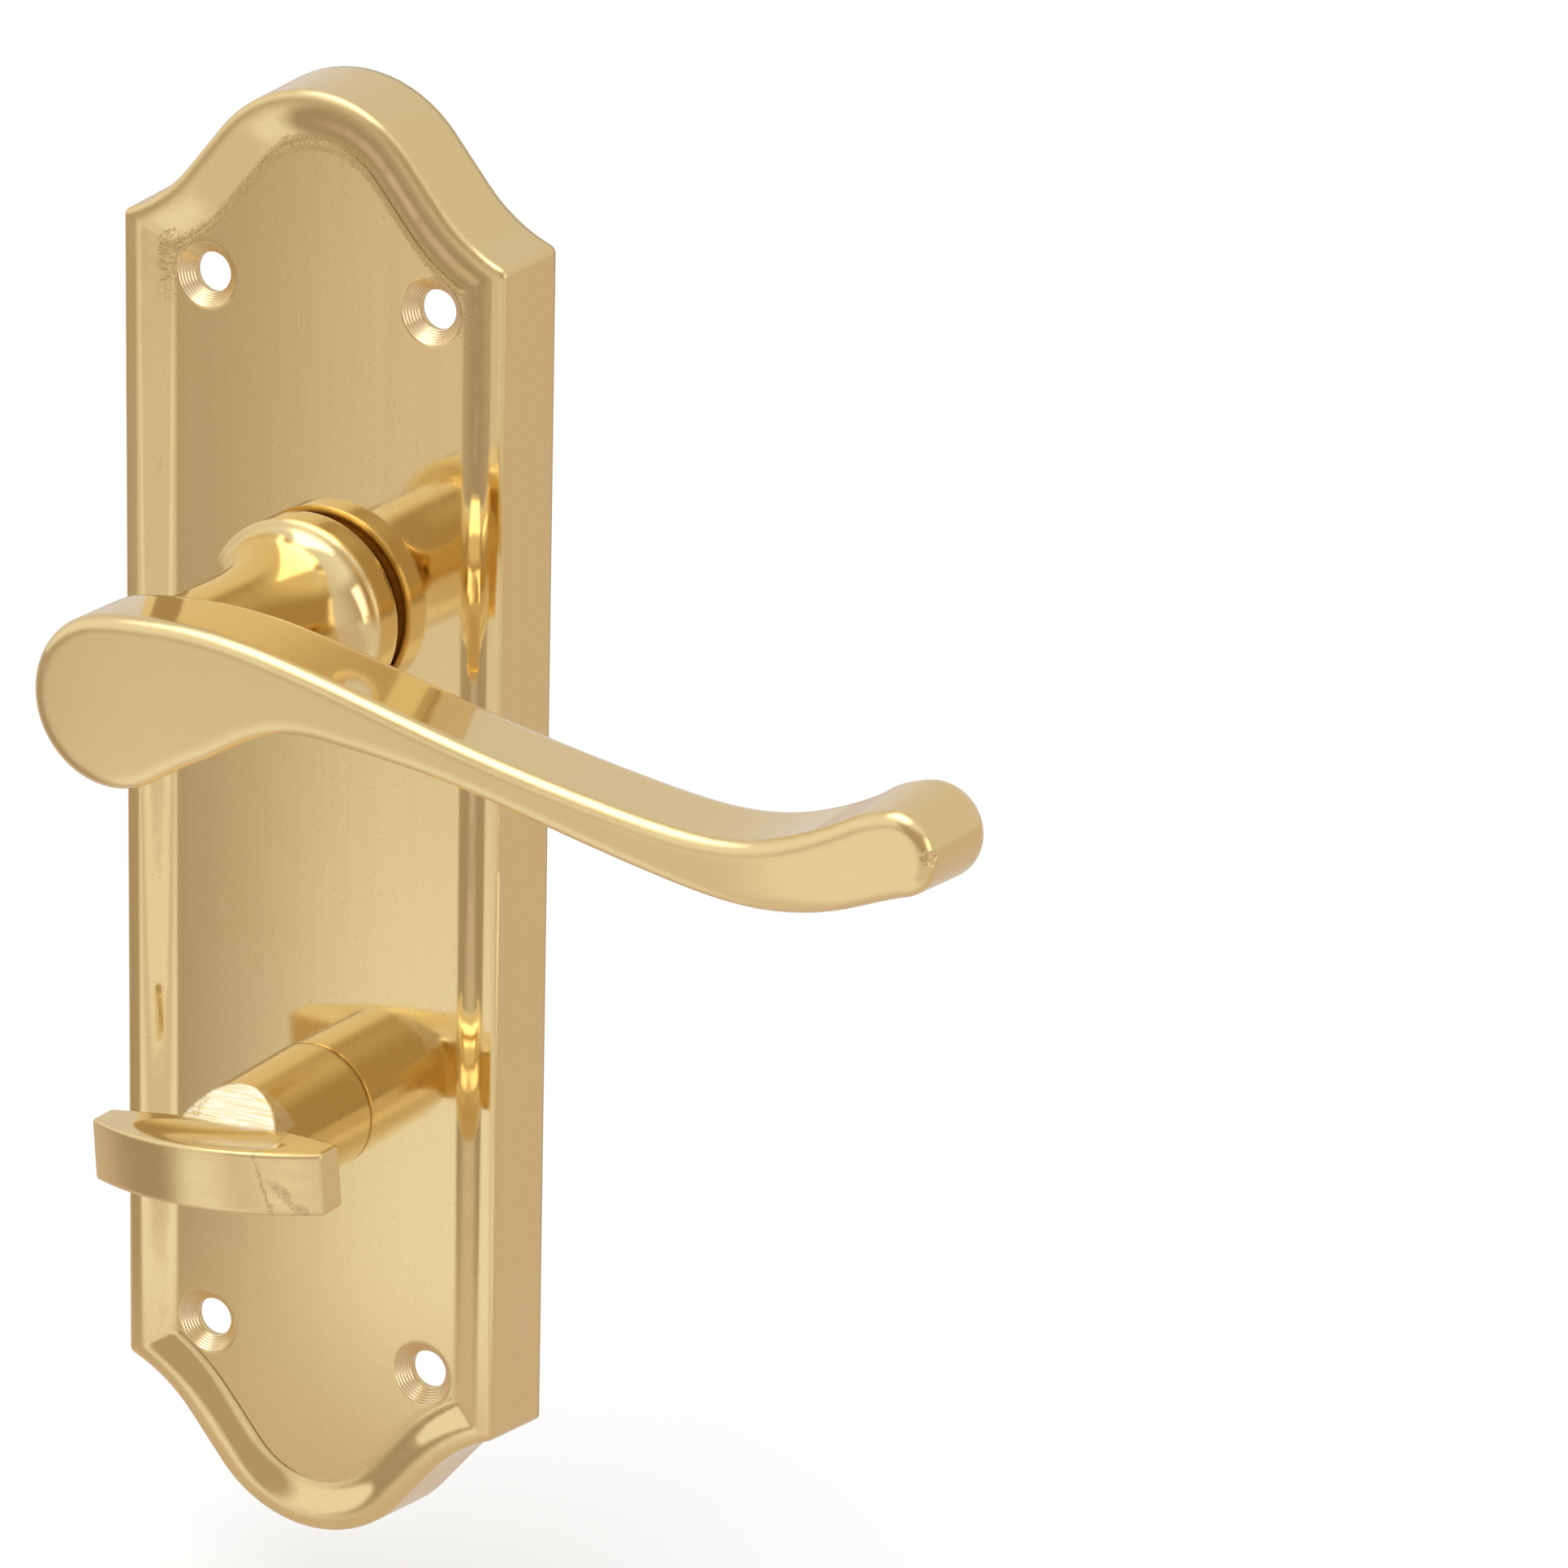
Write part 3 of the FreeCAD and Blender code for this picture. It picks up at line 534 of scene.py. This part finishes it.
facing = parts_of(tree, add_node(tree, "ShaderNodeNewGeometry").outputs["True Normal"])
frontal = maths(tree, "ABSOLUTE", facing[1])
wall = ramp(tree, frontal, *WALL_FACING, 1.0, 0.0)
on_panel = maths(tree, "MULTIPLY", masked(tree, maths(tree, "MULTIPLY", y, -1.0), *PANEL_BAND),
                 ramp(tree, frontal, *PANEL_FACING))
skin_place = maths(tree, "MULTIPLY", maths(tree, "MAXIMUM", near_crease, in_corner), on_panel)
skin = use_group(tree, skin_group, Vector=place, Place=skin_place, Grain_Size=SKIN_GRAIN)
print("points along the crease:", len(CREASE))

# %% [markdown]
# These masks then set the finish. The skin is browner, rougher and higher than the polish, and the walls are
# duller than the panel. The edges of the arched ends are rolled over more widely than those of the long sides.

# %% Brass of the backplate
ALONG_PLATE, PLATE_STROKE = (1.0, 1.0, 0.03), 0.20 * MM
PLATE_PATCH, PLATE_MOTTLE = 12 * MM, 2.4
PLATE_ROUGHNESS, PLATE_BUMP = (0.04, 0.10), 0.09
SKIN_TINT, SKIN_ROUGHER, SKIN_RELIEF, SKIN_BUMP = 0.5, 0.30, 3.0, 0.6
WALL_ROUGHER = 0.14
PLATE_MIDDLE = -25.1 * MM
END_REACH = (62 * MM, 70 * MM)
ROLL_SIDES, ROLL_ENDS = 0.6 * MM, 1.3 * MM

stroke = strokes_along(tree, place, ALONG_PLATE, PLATE_STROKE)
pits = use_group(tree, pit_group, Vector=place, Spacing=1.0 * MM, Pit_Size=0.10, Share=0.5)
colour = brass_colour(tree, place, PLATE_PATCH, pits, PLATE_MOTTLE)
colour = tinted(tree, colour, skin["Mask"], SKIN_TINT, SKIN_BROWN)
rough = ramp(tree, stroke["Streak"], *STREAKS, *PLATE_ROUGHNESS)
rough = plus(tree, rough, skin["Mask"], SKIN_ROUGHER)
rough = plus(tree, rough, wall, WALL_ROUGHER)
height = plus(tree, stroke["Height"], skin["Height"], SKIN_RELIEF)
height = maths(tree, "SUBTRACT", height, pits["Mask"])
bump = plus(tree, PLATE_BUMP, skin["Mask"], SKIN_BUMP)
from_middle = maths(tree, "ABSOLUTE", maths(tree, "SUBTRACT", z, PLATE_MIDDLE))
roll = ramp(tree, from_middle, *END_REACH, ROLL_SIDES, ROLL_ENDS)
close_brass(tree, shader, colour, rough, height, bump, roll)
print("finish:", plate_brass.name)

# %% [markdown]
# The lever is buffed brightest of all, with faint strokes along its length. Its edges are rolled widely, and the
# roll at its tip has one small dent.

# %% Brass of the lever
ALONG_LEVER, LEVER_STROKE = (0.03, 1.0, 1.0), 0.20 * MM
LEVER_PATCH, LEVER_MOTTLE = 15 * MM, 1.0
LEVER_ROUGHNESS, LEVER_BUMP = (0.04, 0.075), 0.05
LEVER_ROLL = 1.2 * MM
TIP_DENT = (94.9 * MM, -47.8 * MM, 1.2 * MM)
DENT_EDGE = (0.5 * MM, 1.1 * MM)
DENT_LUMPS, DENT_WAVER = 0.9 * MM, 1.2 * MM
DENT_TINT, DENT_DEPTH, DENT_BUMP = 0.35, 12.0, 0.9

lever_brass, tree, shader = fresh_material("lever_brass")
place = object_place(tree)
away = add_node(tree, "ShaderNodeVectorMath", {0: place, 1: TIP_DENT}, operation="DISTANCE").outputs["Value"]
away = frayed(tree, away, place, DENT_LUMPS, DENT_WAVER, detail=3.0)
dent = ramp(tree, away, *DENT_EDGE, 1.0, 0.0)
stroke = strokes_along(tree, place, ALONG_LEVER, LEVER_STROKE)
pits = use_group(tree, pit_group, Vector=place, Spacing=1.4 * MM, Pit_Size=0.07, Share=0.4)
colour = brass_colour(tree, place, LEVER_PATCH, pits, LEVER_MOTTLE)
colour = tinted(tree, colour, dent, DENT_TINT, PIT_BROWN)
rough = ramp(tree, stroke["Streak"], *STREAKS, *LEVER_ROUGHNESS)
height = maths(tree, "SUBTRACT", stroke["Height"], pits["Mask"])
height = plus(tree, height, dent, -DENT_DEPTH)
bump = plus(tree, LEVER_BUMP, dent, DENT_BUMP)
close_brass(tree, shader, colour, rough, height, bump, LEVER_ROLL)
print("finish:", lever_brass.name)

# %% [markdown]
# The thumbturn is turned and milled, then brushed. The bar's front keeps horizontal strokes and the barrel fine
# lines round its axis. The two milled flats stay rough, with pits at one end. Across the right end of the bar's
# front run a long slanted scratch and a shorter gouge.

# %% Where the thumbturn is milled and marked
TURN_Z = -57.0 * MM
ALONG_BAR, BAR_STROKE = (0.04, 1.0, 1.0), 0.22 * MM
BARREL_END = (21.0 * MM, 22.0 * MM)
FLAT_DEPTH, FLAT_RISE = (21.8 * MM, 25.6 * MM, 0.2 * MM), (3.2 * MM, 3.6 * MM)
PITTED_END = (-7 * MM, -4.5 * MM, 1.5 * MM)
MARK_LUMPS = 1.4 * MM
WORN_LINES, FAINTEST_MARK = (0.35, 0.65), 0.3
SCRATCH = {"slant": 0.30, "waver": 1.6 * MM, "band": (8.6 * MM, 8.75 * MM, 0.3 * MM),
           "reach": (-4.6 * MM, 4.4 * MM, 0.8 * MM)}
GOUGE = {"slant": 0.90, "waver": 2.4 * MM, "band": (10.2 * MM, 10.8 * MM, 0.5 * MM),
         "reach": (-2.0 * MM, 0.6 * MM, 1.0 * MM)}


def slanted_mark(tree, place, x, rise, slant, waver, band, reach):
    """1 inside a slanted band with wavering edges, within a reach of heights."""
    slid = frayed(tree, plus(tree, x, rise, slant), place, MARK_LUMPS, waver, detail=4.0)
    return maths(tree, "MULTIPLY", masked(tree, slid, *band), masked(tree, rise, *reach))


turn_brass, tree, shader = fresh_material("turn_brass")
place = object_place(tree)
x, y, z = parts_of(tree, place)
depth = maths(tree, "MULTIPLY", y, -1.0)
rise = maths(tree, "SUBTRACT", z, TURN_Z)
lengthwise = strokes_along(tree, place, ALONG_BAR, BAR_STROKE)
on_barrel = ramp(tree, depth, *BARREL_END, 1.0, 0.0)
flat = maths(tree, "MULTIPLY", masked(tree, depth, *FLAT_DEPTH),
             ramp(tree, maths(tree, "ABSOLUTE", rise), *FLAT_RISE))
pitted_flat = maths(tree, "MULTIPLY", flat, masked(tree, x, *PITTED_END))
marks = maths(tree, "MAXIMUM", slanted_mark(tree, place, x, rise, **SCRATCH),
              slanted_mark(tree, place, x, rise, **GOUGE))
marks = maths(tree, "MULTIPLY", marks, maths(tree, "SUBTRACT", 1.0, on_barrel))
marks = maths(tree, "MULTIPLY", marks, ramp(tree, lengthwise["Height"], *WORN_LINES, FAINTEST_MARK, 1.0))
print("marks from x in mm:", round(SCRATCH["band"][0] / MM, 1), "and", round(GOUGE["band"][0] / MM, 1))

# %% [markdown]
# On the flats the cutter's own lines show pale through the brass, partly as the paler cut metal and partly as a
# painted highlight. The skin at their pitted end is brown, and so are the marks on the front. The flats are also
# rougher and deeper in relief than the rest.

# %% Brass of the thumbturn
ROUND_BARREL, BARREL_STROKE = (0.12, 1.0, 0.12), 0.16 * MM
TURN_PATCH, TURN_MOTTLE = 9 * MM, 1.5
TURN_ROUGHNESS, TURN_BUMP = (0.13, 0.22), 0.12
FLAT_ROUGHER, FLAT_BUMP = 0.16, 0.5
FLAT_GRAIN, FLAT_SKIN_TINT = 0.30 * MM, 0.8
# The pale colour of the milled flats is partly the cut metal's own colour and partly a painted highlight.
MILLED_LINES, MILLED_PALE_AND_HIGHLIGHT = (0.35, 0.60), (0.93, 0.86, 0.70, 1.0)
MARK_TINT, MARK_BROWN = 0.60, (0.38, 0.25, 0.12, 1.0)
TURN_ROLL = 0.6 * MM

turning = strokes_along(tree, place, ROUND_BARREL, BARREL_STROKE)
skin = use_group(tree, skin_group, Vector=place, Place=pitted_flat, Grain_Size=FLAT_GRAIN)
pits = use_group(tree, pit_group, Vector=place, Spacing=1.3 * MM, Pit_Size=0.07, Share=0.3)
milled_lines_and_highlight = ramp(tree, lengthwise["Height"], *MILLED_LINES)
colour = brass_colour(tree, place, TURN_PATCH, pits, TURN_MOTTLE)
# Pale lines on the flats: partly the paler cut metal, partly a painted highlight.
colour = tinted(tree, colour, flat, milled_lines_and_highlight, MILLED_PALE_AND_HIGHLIGHT)
colour = tinted(tree, colour, skin["Mask"], FLAT_SKIN_TINT, SKIN_BROWN)
colour = tinted(tree, colour, marks, MARK_TINT, MARK_BROWN)
rough = ramp(tree, lengthwise["Streak"], *STREAKS, *TURN_ROUGHNESS)
rough = plus(tree, rough, flat, FLAT_ROUGHER)
height = blend_values(tree, on_barrel, lengthwise["Height"], turning["Height"])
height = maths(tree, "SUBTRACT", maths(tree, "ADD", height, skin["Height"]), pits["Mask"])
bump = plus(tree, TURN_BUMP, flat, FLAT_BUMP)
close_brass(tree, shader, colour, rough, height, bump, TURN_ROLL)
print("finish:", turn_brass.name)

# %% [markdown]
# The small pieces inside the handle are moulded nylon and pressed or drawn steel. Each has one tone with a slow
# drift and a fine grain, so one function makes them all. The lever's bush is a warm brown, a painted shade that
# stands for the dark gap between the lever's boss and the plate.

# %% Nylon and steel
PLAIN_GRAIN = 0.25 * MM
PLAIN_BUMP = 0.3
PLAIN_CONTRAST = 2.0


def plain_finish(name, pale, deep, metallic, roughness, patch):
    """A finish of one tone with a slow drift and a fine grain."""
    material, tree, shader = fresh_material(name)
    place = object_place(tree)
    tone = use_group(tree, tone_group, Vector=place, Pale=pale, Deep=deep,
                     Patch_Size=patch, Contrast=PLAIN_CONTRAST)
    grain = use_group(tree, stroke_group, Vector=place, Stroke_Width=PLAIN_GRAIN)
    relief = add_node(tree, "ShaderNodeBump",
                      {"Height": grain["Height"], "Strength": PLAIN_BUMP, "Distance": BUMP_DISTANCE})
    tree.links.new(tone["Color"], shader.inputs["Base Color"])
    tree.links.new(ramp(tree, grain["Streak"], *STREAKS, *roughness), shader.inputs["Roughness"])
    tree.links.new(relief.outputs[0], shader.inputs["Normal"])
    shader.inputs["Metallic"].default_value = metallic
    return material


black_nylon = plain_finish("black_nylon", (0.035, 0.030, 0.026, 1), (0.055, 0.045, 0.038, 1),
                           metallic=0.0, roughness=(0.45, 0.6), patch=3 * MM)
# The bush's warm brown is a painted shade for the dark gap between the lever's boss and the plate.
bush_gap_shade = plain_finish("bush_gap_shade", (0.42, 0.24, 0.09, 1), (0.30, 0.16, 0.06, 1),
                          metallic=0.0, roughness=(0.22, 0.32), patch=3 * MM)
zinc_steel = plain_finish("zinc_steel", (0.62, 0.63, 0.64, 1), (0.50, 0.51, 0.50, 1),
                          metallic=1.0, roughness=(0.28, 0.42), patch=4 * MM)
spring_steel = plain_finish("spring_steel", (0.36, 0.35, 0.35, 1), (0.25, 0.24, 0.24, 1),
                            metallic=1.0, roughness=(0.25, 0.4), patch=4 * MM)
print("inner finishes:", [m.name for m in (black_nylon, bush_gap_shade, zinc_steel, spring_steel)])

# %% [markdown]
# Now every solid takes its finish. The solids themselves stay as they came.

# %% Give each node its finish
FINISHES = {
    "backplate": plate_brass, "lever": lever_brass, "thumbturn": turn_brass,
    "lever_bush": bush_gap_shade, "turn_bush": black_nylon,
    "anchor_plate": zinc_steel, "anchor_pin": zinc_steel, "cam_plate": zinc_steel, "cam_pin": zinc_steel,
    "turn_washer": zinc_steel,
    "push_washer_upper": spring_steel, "push_washer_lower": spring_steel, "return_spring": spring_steel,
    "lever_circlip": spring_steel, "turn_wave_washer": spring_steel, "turn_circlip": spring_steel,
}
for name, finish in FINISHES.items():
    slots = nodes[name].data.materials
    for index in range(max(1, len(slots))):
        if index < len(slots):
            slots[index] = finish
        else:
            slots.append(finish)
print("finished nodes:", len(FINISHES))

# %% [markdown]
# ## Pieces made by a rule
# Two things on the handle follow a rule so closely that a tree of Geometry Nodes says it best: the grooves that
# a tool turned into the four screw seats, and the wire of the return spring. Each tree has named inputs for its
# sizes. Its result becomes a plain mesh, closed and with its faces pointing outwards.

# %% Helpers for the rules


def fresh_rule(name, inputs):
    """A geometry node tree with named inputs (name, kind) and one geometry output."""
    tree = bpy.data.node_groups.new(name, "GeometryNodeTree")
    tree.is_modifier = True
    for label, kind in inputs:
        tree.interface.new_socket(label, in_out="INPUT", socket_type="NodeSocket" + kind)
    tree.interface.new_socket("Geometry", in_out="OUTPUT", socket_type="NodeSocketGeometry")
    return tree, tree.nodes.new("NodeGroupInput").outputs, tree.nodes.new("NodeGroupOutput").inputs


def made_by_rule(name, tree, values):
    """The plain mesh that a tree makes from its values, as an object at the origin."""
    blank = bpy.data.objects.new(name + "_blank", bpy.data.meshes.new(name + "_blank"))
    bpy.context.scene.collection.objects.link(blank)
    rule = blank.modifiers.new("rule", "NODES")
    rule.node_group = tree
    for socket in tree.interface.items_tree:
        if socket.in_out == "INPUT":
            rule[socket.identifier] = values[socket.name]
    ready = blank.evaluated_get(bpy.context.evaluated_depsgraph_get())
    mesh = bpy.data.meshes.new_from_object(ready)
    bpy.data.objects.remove(blank)
    skin = bmesh.new()
    skin.from_mesh(mesh)
    bmesh.ops.recalc_face_normals(skin, faces=skin.faces)
    open_edges = sum(not e.is_manifold for e in skin.edges)
    skin.to_mesh(mesh)
    skin.free()
    piece = bpy.data.objects.new(name, mesh)
    bpy.context.scene.collection.objects.link(piece)
    print(name, "has", len(mesh.polygons), "faces and", open_edges, "open edges")
    return piece


def end_rule(tree, geometry, finish, made):
    """The last steps of a rule: real geometry, shaded smooth, with its finish."""
    for kind, own in (("GeometryNodeRealizeInstances", {}), ("GeometryNodeSetShadeSmooth", {}),
                      ("GeometryNodeSetMaterial", {"Material": finish})):
        geometry = add_node(tree, kind, {"Geometry": geometry, **own}).outputs[0]
    tree.links.new(geometry, made["Geometry"])


def point_at(tree, x, y, z):
    """A point from its three parts."""
    return add_node(tree, "ShaderNodeCombineXYZ", {0: x, 1: y, 2: z}).outputs[0]


print("rule helpers ready")

# %% [markdown]
# A countersink cutter leaves fine rings in the cone that a screw's head sits on. The ring stack is a grid that is
# bent round the screw's axis. Its long part lies just above the cone, whose wall stands at 45 degrees, and waves
# up and down, one wave a groove. Its short part runs back under the cone, so that the stack is a closed body. The
# four seats stand on the corners of a grid of two by two.

# %% Turned grooves of the screw seats
FACE_SHARE = 0.83
ROW_STEP = 0.006
POINTS_AROUND, POINTS_ALONG = 97, 101
SEAM = 1e-6
LEAN = math.sqrt(0.5)

rule, given, made = fresh_rule("turned_seat_rule", [
    ("Spacing X", "Float"), ("Spacing Z", "Float"), ("Middle Z", "Float"), ("Panel Depth", "Float"),
    ("Hole Radius", "Float"), ("Mouth Radius", "Float"), ("Grooves", "Float"), ("Groove Depth", "Float"),
    ("Lift", "Float"), ("Sink", "Float"), ("Finish", "Material")])
sheet = add_node(rule, "GeometryNodeMeshGrid",
                 {"Size X": 1.0, "Size Y": 1.0, "Vertices X": POINTS_AROUND, "Vertices Y": POINTS_ALONG})
flat_place = parts_of(rule, add_node(rule, "GeometryNodeInputPosition").outputs[0])
around = maths(rule, "MULTIPLY", maths(rule, "ADD", flat_place[0], 0.5), 2 * math.pi)
along = maths(rule, "ADD", flat_place[1], 0.5)
up_cone = maths(rule, "MINIMUM", maths(rule, "DIVIDE", along, FACE_SHARE),
                maths(rule, "DIVIDE", maths(rule, "SUBTRACT", 1.0, along), 1.0 - FACE_SHARE))
hidden = maths(rule, "MULTIPLY", maths(rule, "GREATER_THAN", along, FACE_SHARE + ROW_STEP),
               maths(rule, "LESS_THAN", along, 1.0 - ROW_STEP))
turns = maths(rule, "MULTIPLY", maths(rule, "MULTIPLY", up_cone, given["Grooves"]), 2 * math.pi)
wave = maths(rule, "MULTIPLY", maths(rule, "ADD", maths(rule, "COSINE", turns), 1.0), 0.5)
proud = plus(rule, given["Lift"], wave, given["Groove Depth"])
offset = blend_values(rule, hidden, proud, maths(rule, "MULTIPLY", given["Sink"], -1.0))
offset = maths(rule, "MULTIPLY", offset, LEAN)
slope = maths(rule, "SUBTRACT", given["Mouth Radius"], given["Hole Radius"])
radius = maths(rule, "SUBTRACT", plus(rule, given["Hole Radius"], slope, up_cone), offset)
deep = maths(rule, "MULTIPLY", slope, maths(rule, "SUBTRACT", 1.0, up_cone))
deep = maths(rule, "ADD", maths(rule, "SUBTRACT", given["Panel Depth"], deep), offset)
bent = point_at(rule, maths(rule, "MULTIPLY", radius, maths(rule, "COSINE", around)),
                maths(rule, "MULTIPLY", deep, -1.0), maths(rule, "MULTIPLY", radius, maths(rule, "SINE", around)))
stack = add_node(rule, "GeometryNodeSetPosition", {"Geometry": sheet.outputs[0], "Position": bent}).outputs[0]
stack = add_node(rule, "GeometryNodeMergeByDistance", {"Geometry": stack, "Distance": SEAM}).outputs[0]
seats = add_node(rule, "GeometryNodeMeshGrid",
                 {"Size X": given["Spacing X"], "Size Y": given["Spacing Z"], "Vertices X": 2, "Vertices Y": 2})
corner = parts_of(rule, add_node(rule, "GeometryNodeInputPosition").outputs[0])
standing = point_at(rule, corner[0], 0.0, maths(rule, "ADD", corner[1], given["Middle Z"]))
seats = add_node(rule, "GeometryNodeSetPosition", {"Geometry": seats.outputs[0], "Position": standing}).outputs[0]
four = add_node(rule, "GeometryNodeInstanceOnPoints", {"Points": seats, "Instance": stack}).outputs[0]
end_rule(rule, four, given["Finish"], made)
print("rule:", rule.name)

# %% [markdown]
# The cone is paler than the polish round it and a little rougher, because it is cut and not buffed. The sizes of
# the rings are those of the plate's own holes.

# %% Finish and place of the screw seats
CUT_PALE = (0.90, 0.75, 0.50, 1.0)
CUT_DEEP = (0.86, 0.69, 0.42, 1.0)
CUT_PATCH = 3 * MM
CUT_ROUGHNESS = (0.24, 0.34)
CUT_GRAIN, CUT_BUMP = 0.10 * MM, 0.06

turned_brass, tree, shader = fresh_material("turned_brass")
place = object_place(tree)
tone = use_group(tree, tone_group, Vector=place, Pale=CUT_PALE, Deep=CUT_DEEP, Patch_Size=CUT_PATCH)
pits = use_group(tree, pit_group, Vector=place, Spacing=0.8 * MM, Pit_Size=0.08, Share=0.2)
grain = use_group(tree, stroke_group, Vector=place, Stroke_Width=CUT_GRAIN)
relief = add_node(tree, "ShaderNodeBump",
                  {"Height": grain["Height"], "Strength": CUT_BUMP, "Distance": BUMP_DISTANCE})
tree.links.new(mix_colour(tree, pits["Mask"], tone["Color"], PIT_BROWN), shader.inputs["Base Color"])
tree.links.new(ramp(tree, grain["Streak"], *STREAKS, *CUT_ROUGHNESS), shader.inputs["Roughness"])
tree.links.new(relief.outputs[0], shader.inputs["Normal"])
shader.inputs["Metallic"].default_value = 1.0

screw_seats = made_by_rule("screw_seats", rule, {
    "Spacing X": 28 * MM, "Spacing Z": 120 * MM, "Middle Z": -25.4 * MM, "Panel Depth": PANEL_DEPTH,
    "Hole Radius": 2.2 * MM, "Mouth Radius": 3.62 * MM, "Grooves": 6.0, "Groove Depth": 0.024 * MM,
    "Lift": 0.012 * MM, "Sink": 0.12 * MM, "Finish": turned_brass})
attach(screw_seats, "plate")

# %% [markdown]
# The return spring is a round wire with a straight leg, one and a half turns and another straight leg. One rule
# gives every point of it: how far the wire has turned, and how far it has run straight on before or after the
# coil. A line of many points is bent by the rule and given a round section.

# %% Wire of the return spring
WIRE_POINTS = 260
WIRE_SIDES = 16

rule, given, made = fresh_rule("torsion_spring_rule", [
    ("Coil Radius", "Float"), ("Wire Radius", "Float"), ("Pitch", "Float"), ("Half Turns", "Float"),
    ("Leg Length", "Float"), ("First Depth", "Float"), ("Start Angle", "Float"), ("Finish", "Material")])
coil_length = maths(rule, "MULTIPLY", maths(rule, "MULTIPLY", given["Half Turns"], math.pi), given["Coil Radius"])
whole = maths(rule, "ADD", coil_length, maths(rule, "MULTIPLY", given["Leg Length"], 2.0))
line = add_node(rule, "GeometryNodeCurvePrimitiveLine", {"End": (0.1, 0.0, 0.0)}).outputs[0]
line = add_node(rule, "GeometryNodeResampleCurve", {"Curve": line, "Count": WIRE_POINTS}).outputs[0]
run = maths(rule, "MULTIPLY", add_node(rule, "GeometryNodeSplineParameter").outputs["Factor"], whole)
past_leg = maths(rule, "SUBTRACT", run, given["Leg Length"])
in_coil = maths(rule, "MINIMUM", maths(rule, "MAXIMUM", past_leg, 0.0), coil_length)
straight = maths(rule, "SUBTRACT", past_leg, in_coil)
angle = maths(rule, "DIVIDE", in_coil, given["Coil Radius"])
cosine, sine = maths(rule, "COSINE", angle), maths(rule, "SINE", angle)
flat_x = maths(rule, "SUBTRACT", maths(rule, "MULTIPLY", given["Coil Radius"], cosine),
               maths(rule, "MULTIPLY", straight, sine))
flat_y = maths(rule, "ADD", maths(rule, "MULTIPLY", given["Coil Radius"], sine),
               maths(rule, "MULTIPLY", straight, cosine))
climb = maths(rule, "DIVIDE", maths(rule, "MULTIPLY", given["Pitch"], angle), 2 * math.pi)
bent = point_at(rule, flat_x, maths(rule, "SUBTRACT", climb, given["First Depth"]),
                maths(rule, "MULTIPLY", flat_y, -1.0))
line = add_node(rule, "GeometryNodeSetPosition", {"Geometry": line, "Position": bent}).outputs[0]
section = add_node(rule, "GeometryNodeCurvePrimitiveCircle",
                   {"Resolution": WIRE_SIDES, "Radius": given["Wire Radius"]})
wire = add_node(rule, "GeometryNodeCurveToMesh",
                {"Curve": line, "Profile Curve": section.outputs[0], "Fill Caps": True}).outputs[0]
turn = point_at(rule, 0.0, maths(rule, "MULTIPLY", given["Start Angle"], -1.0), 0.0)
wire = add_node(rule, "GeometryNodeTransform", {"Geometry": wire, "Rotation": turn}).outputs[0]
end_rule(rule, wire, given["Finish"], made)

spring_wire = made_by_rule("spring_wire", rule, {
    "Coil Radius": 10 * MM, "Wire Radius": 0.5 * MM, "Pitch": 1.05 * MM, "Half Turns": 3.0,
    "Leg Length": 8.6 * MM, "First Depth": 4.65 * MM, "Start Angle": math.radians(166.77),
    "Finish": spring_steel})
low_corner, high_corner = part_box("return_spring")
wire_places = [v.co for v in spring_wire.data.vertices]
wire_box = [[f(v[i] for v in wire_places) for i in range(3)] for f in (min, max)]
print("solid in mm:", [[round(v / MM, 2) for v in c] for c in (low_corner, high_corner)])
print("wire in mm: ", [[round(v / MM, 2) for v in c] for c in wire_box])
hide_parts("return_spring")
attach(spring_wire, "plate")
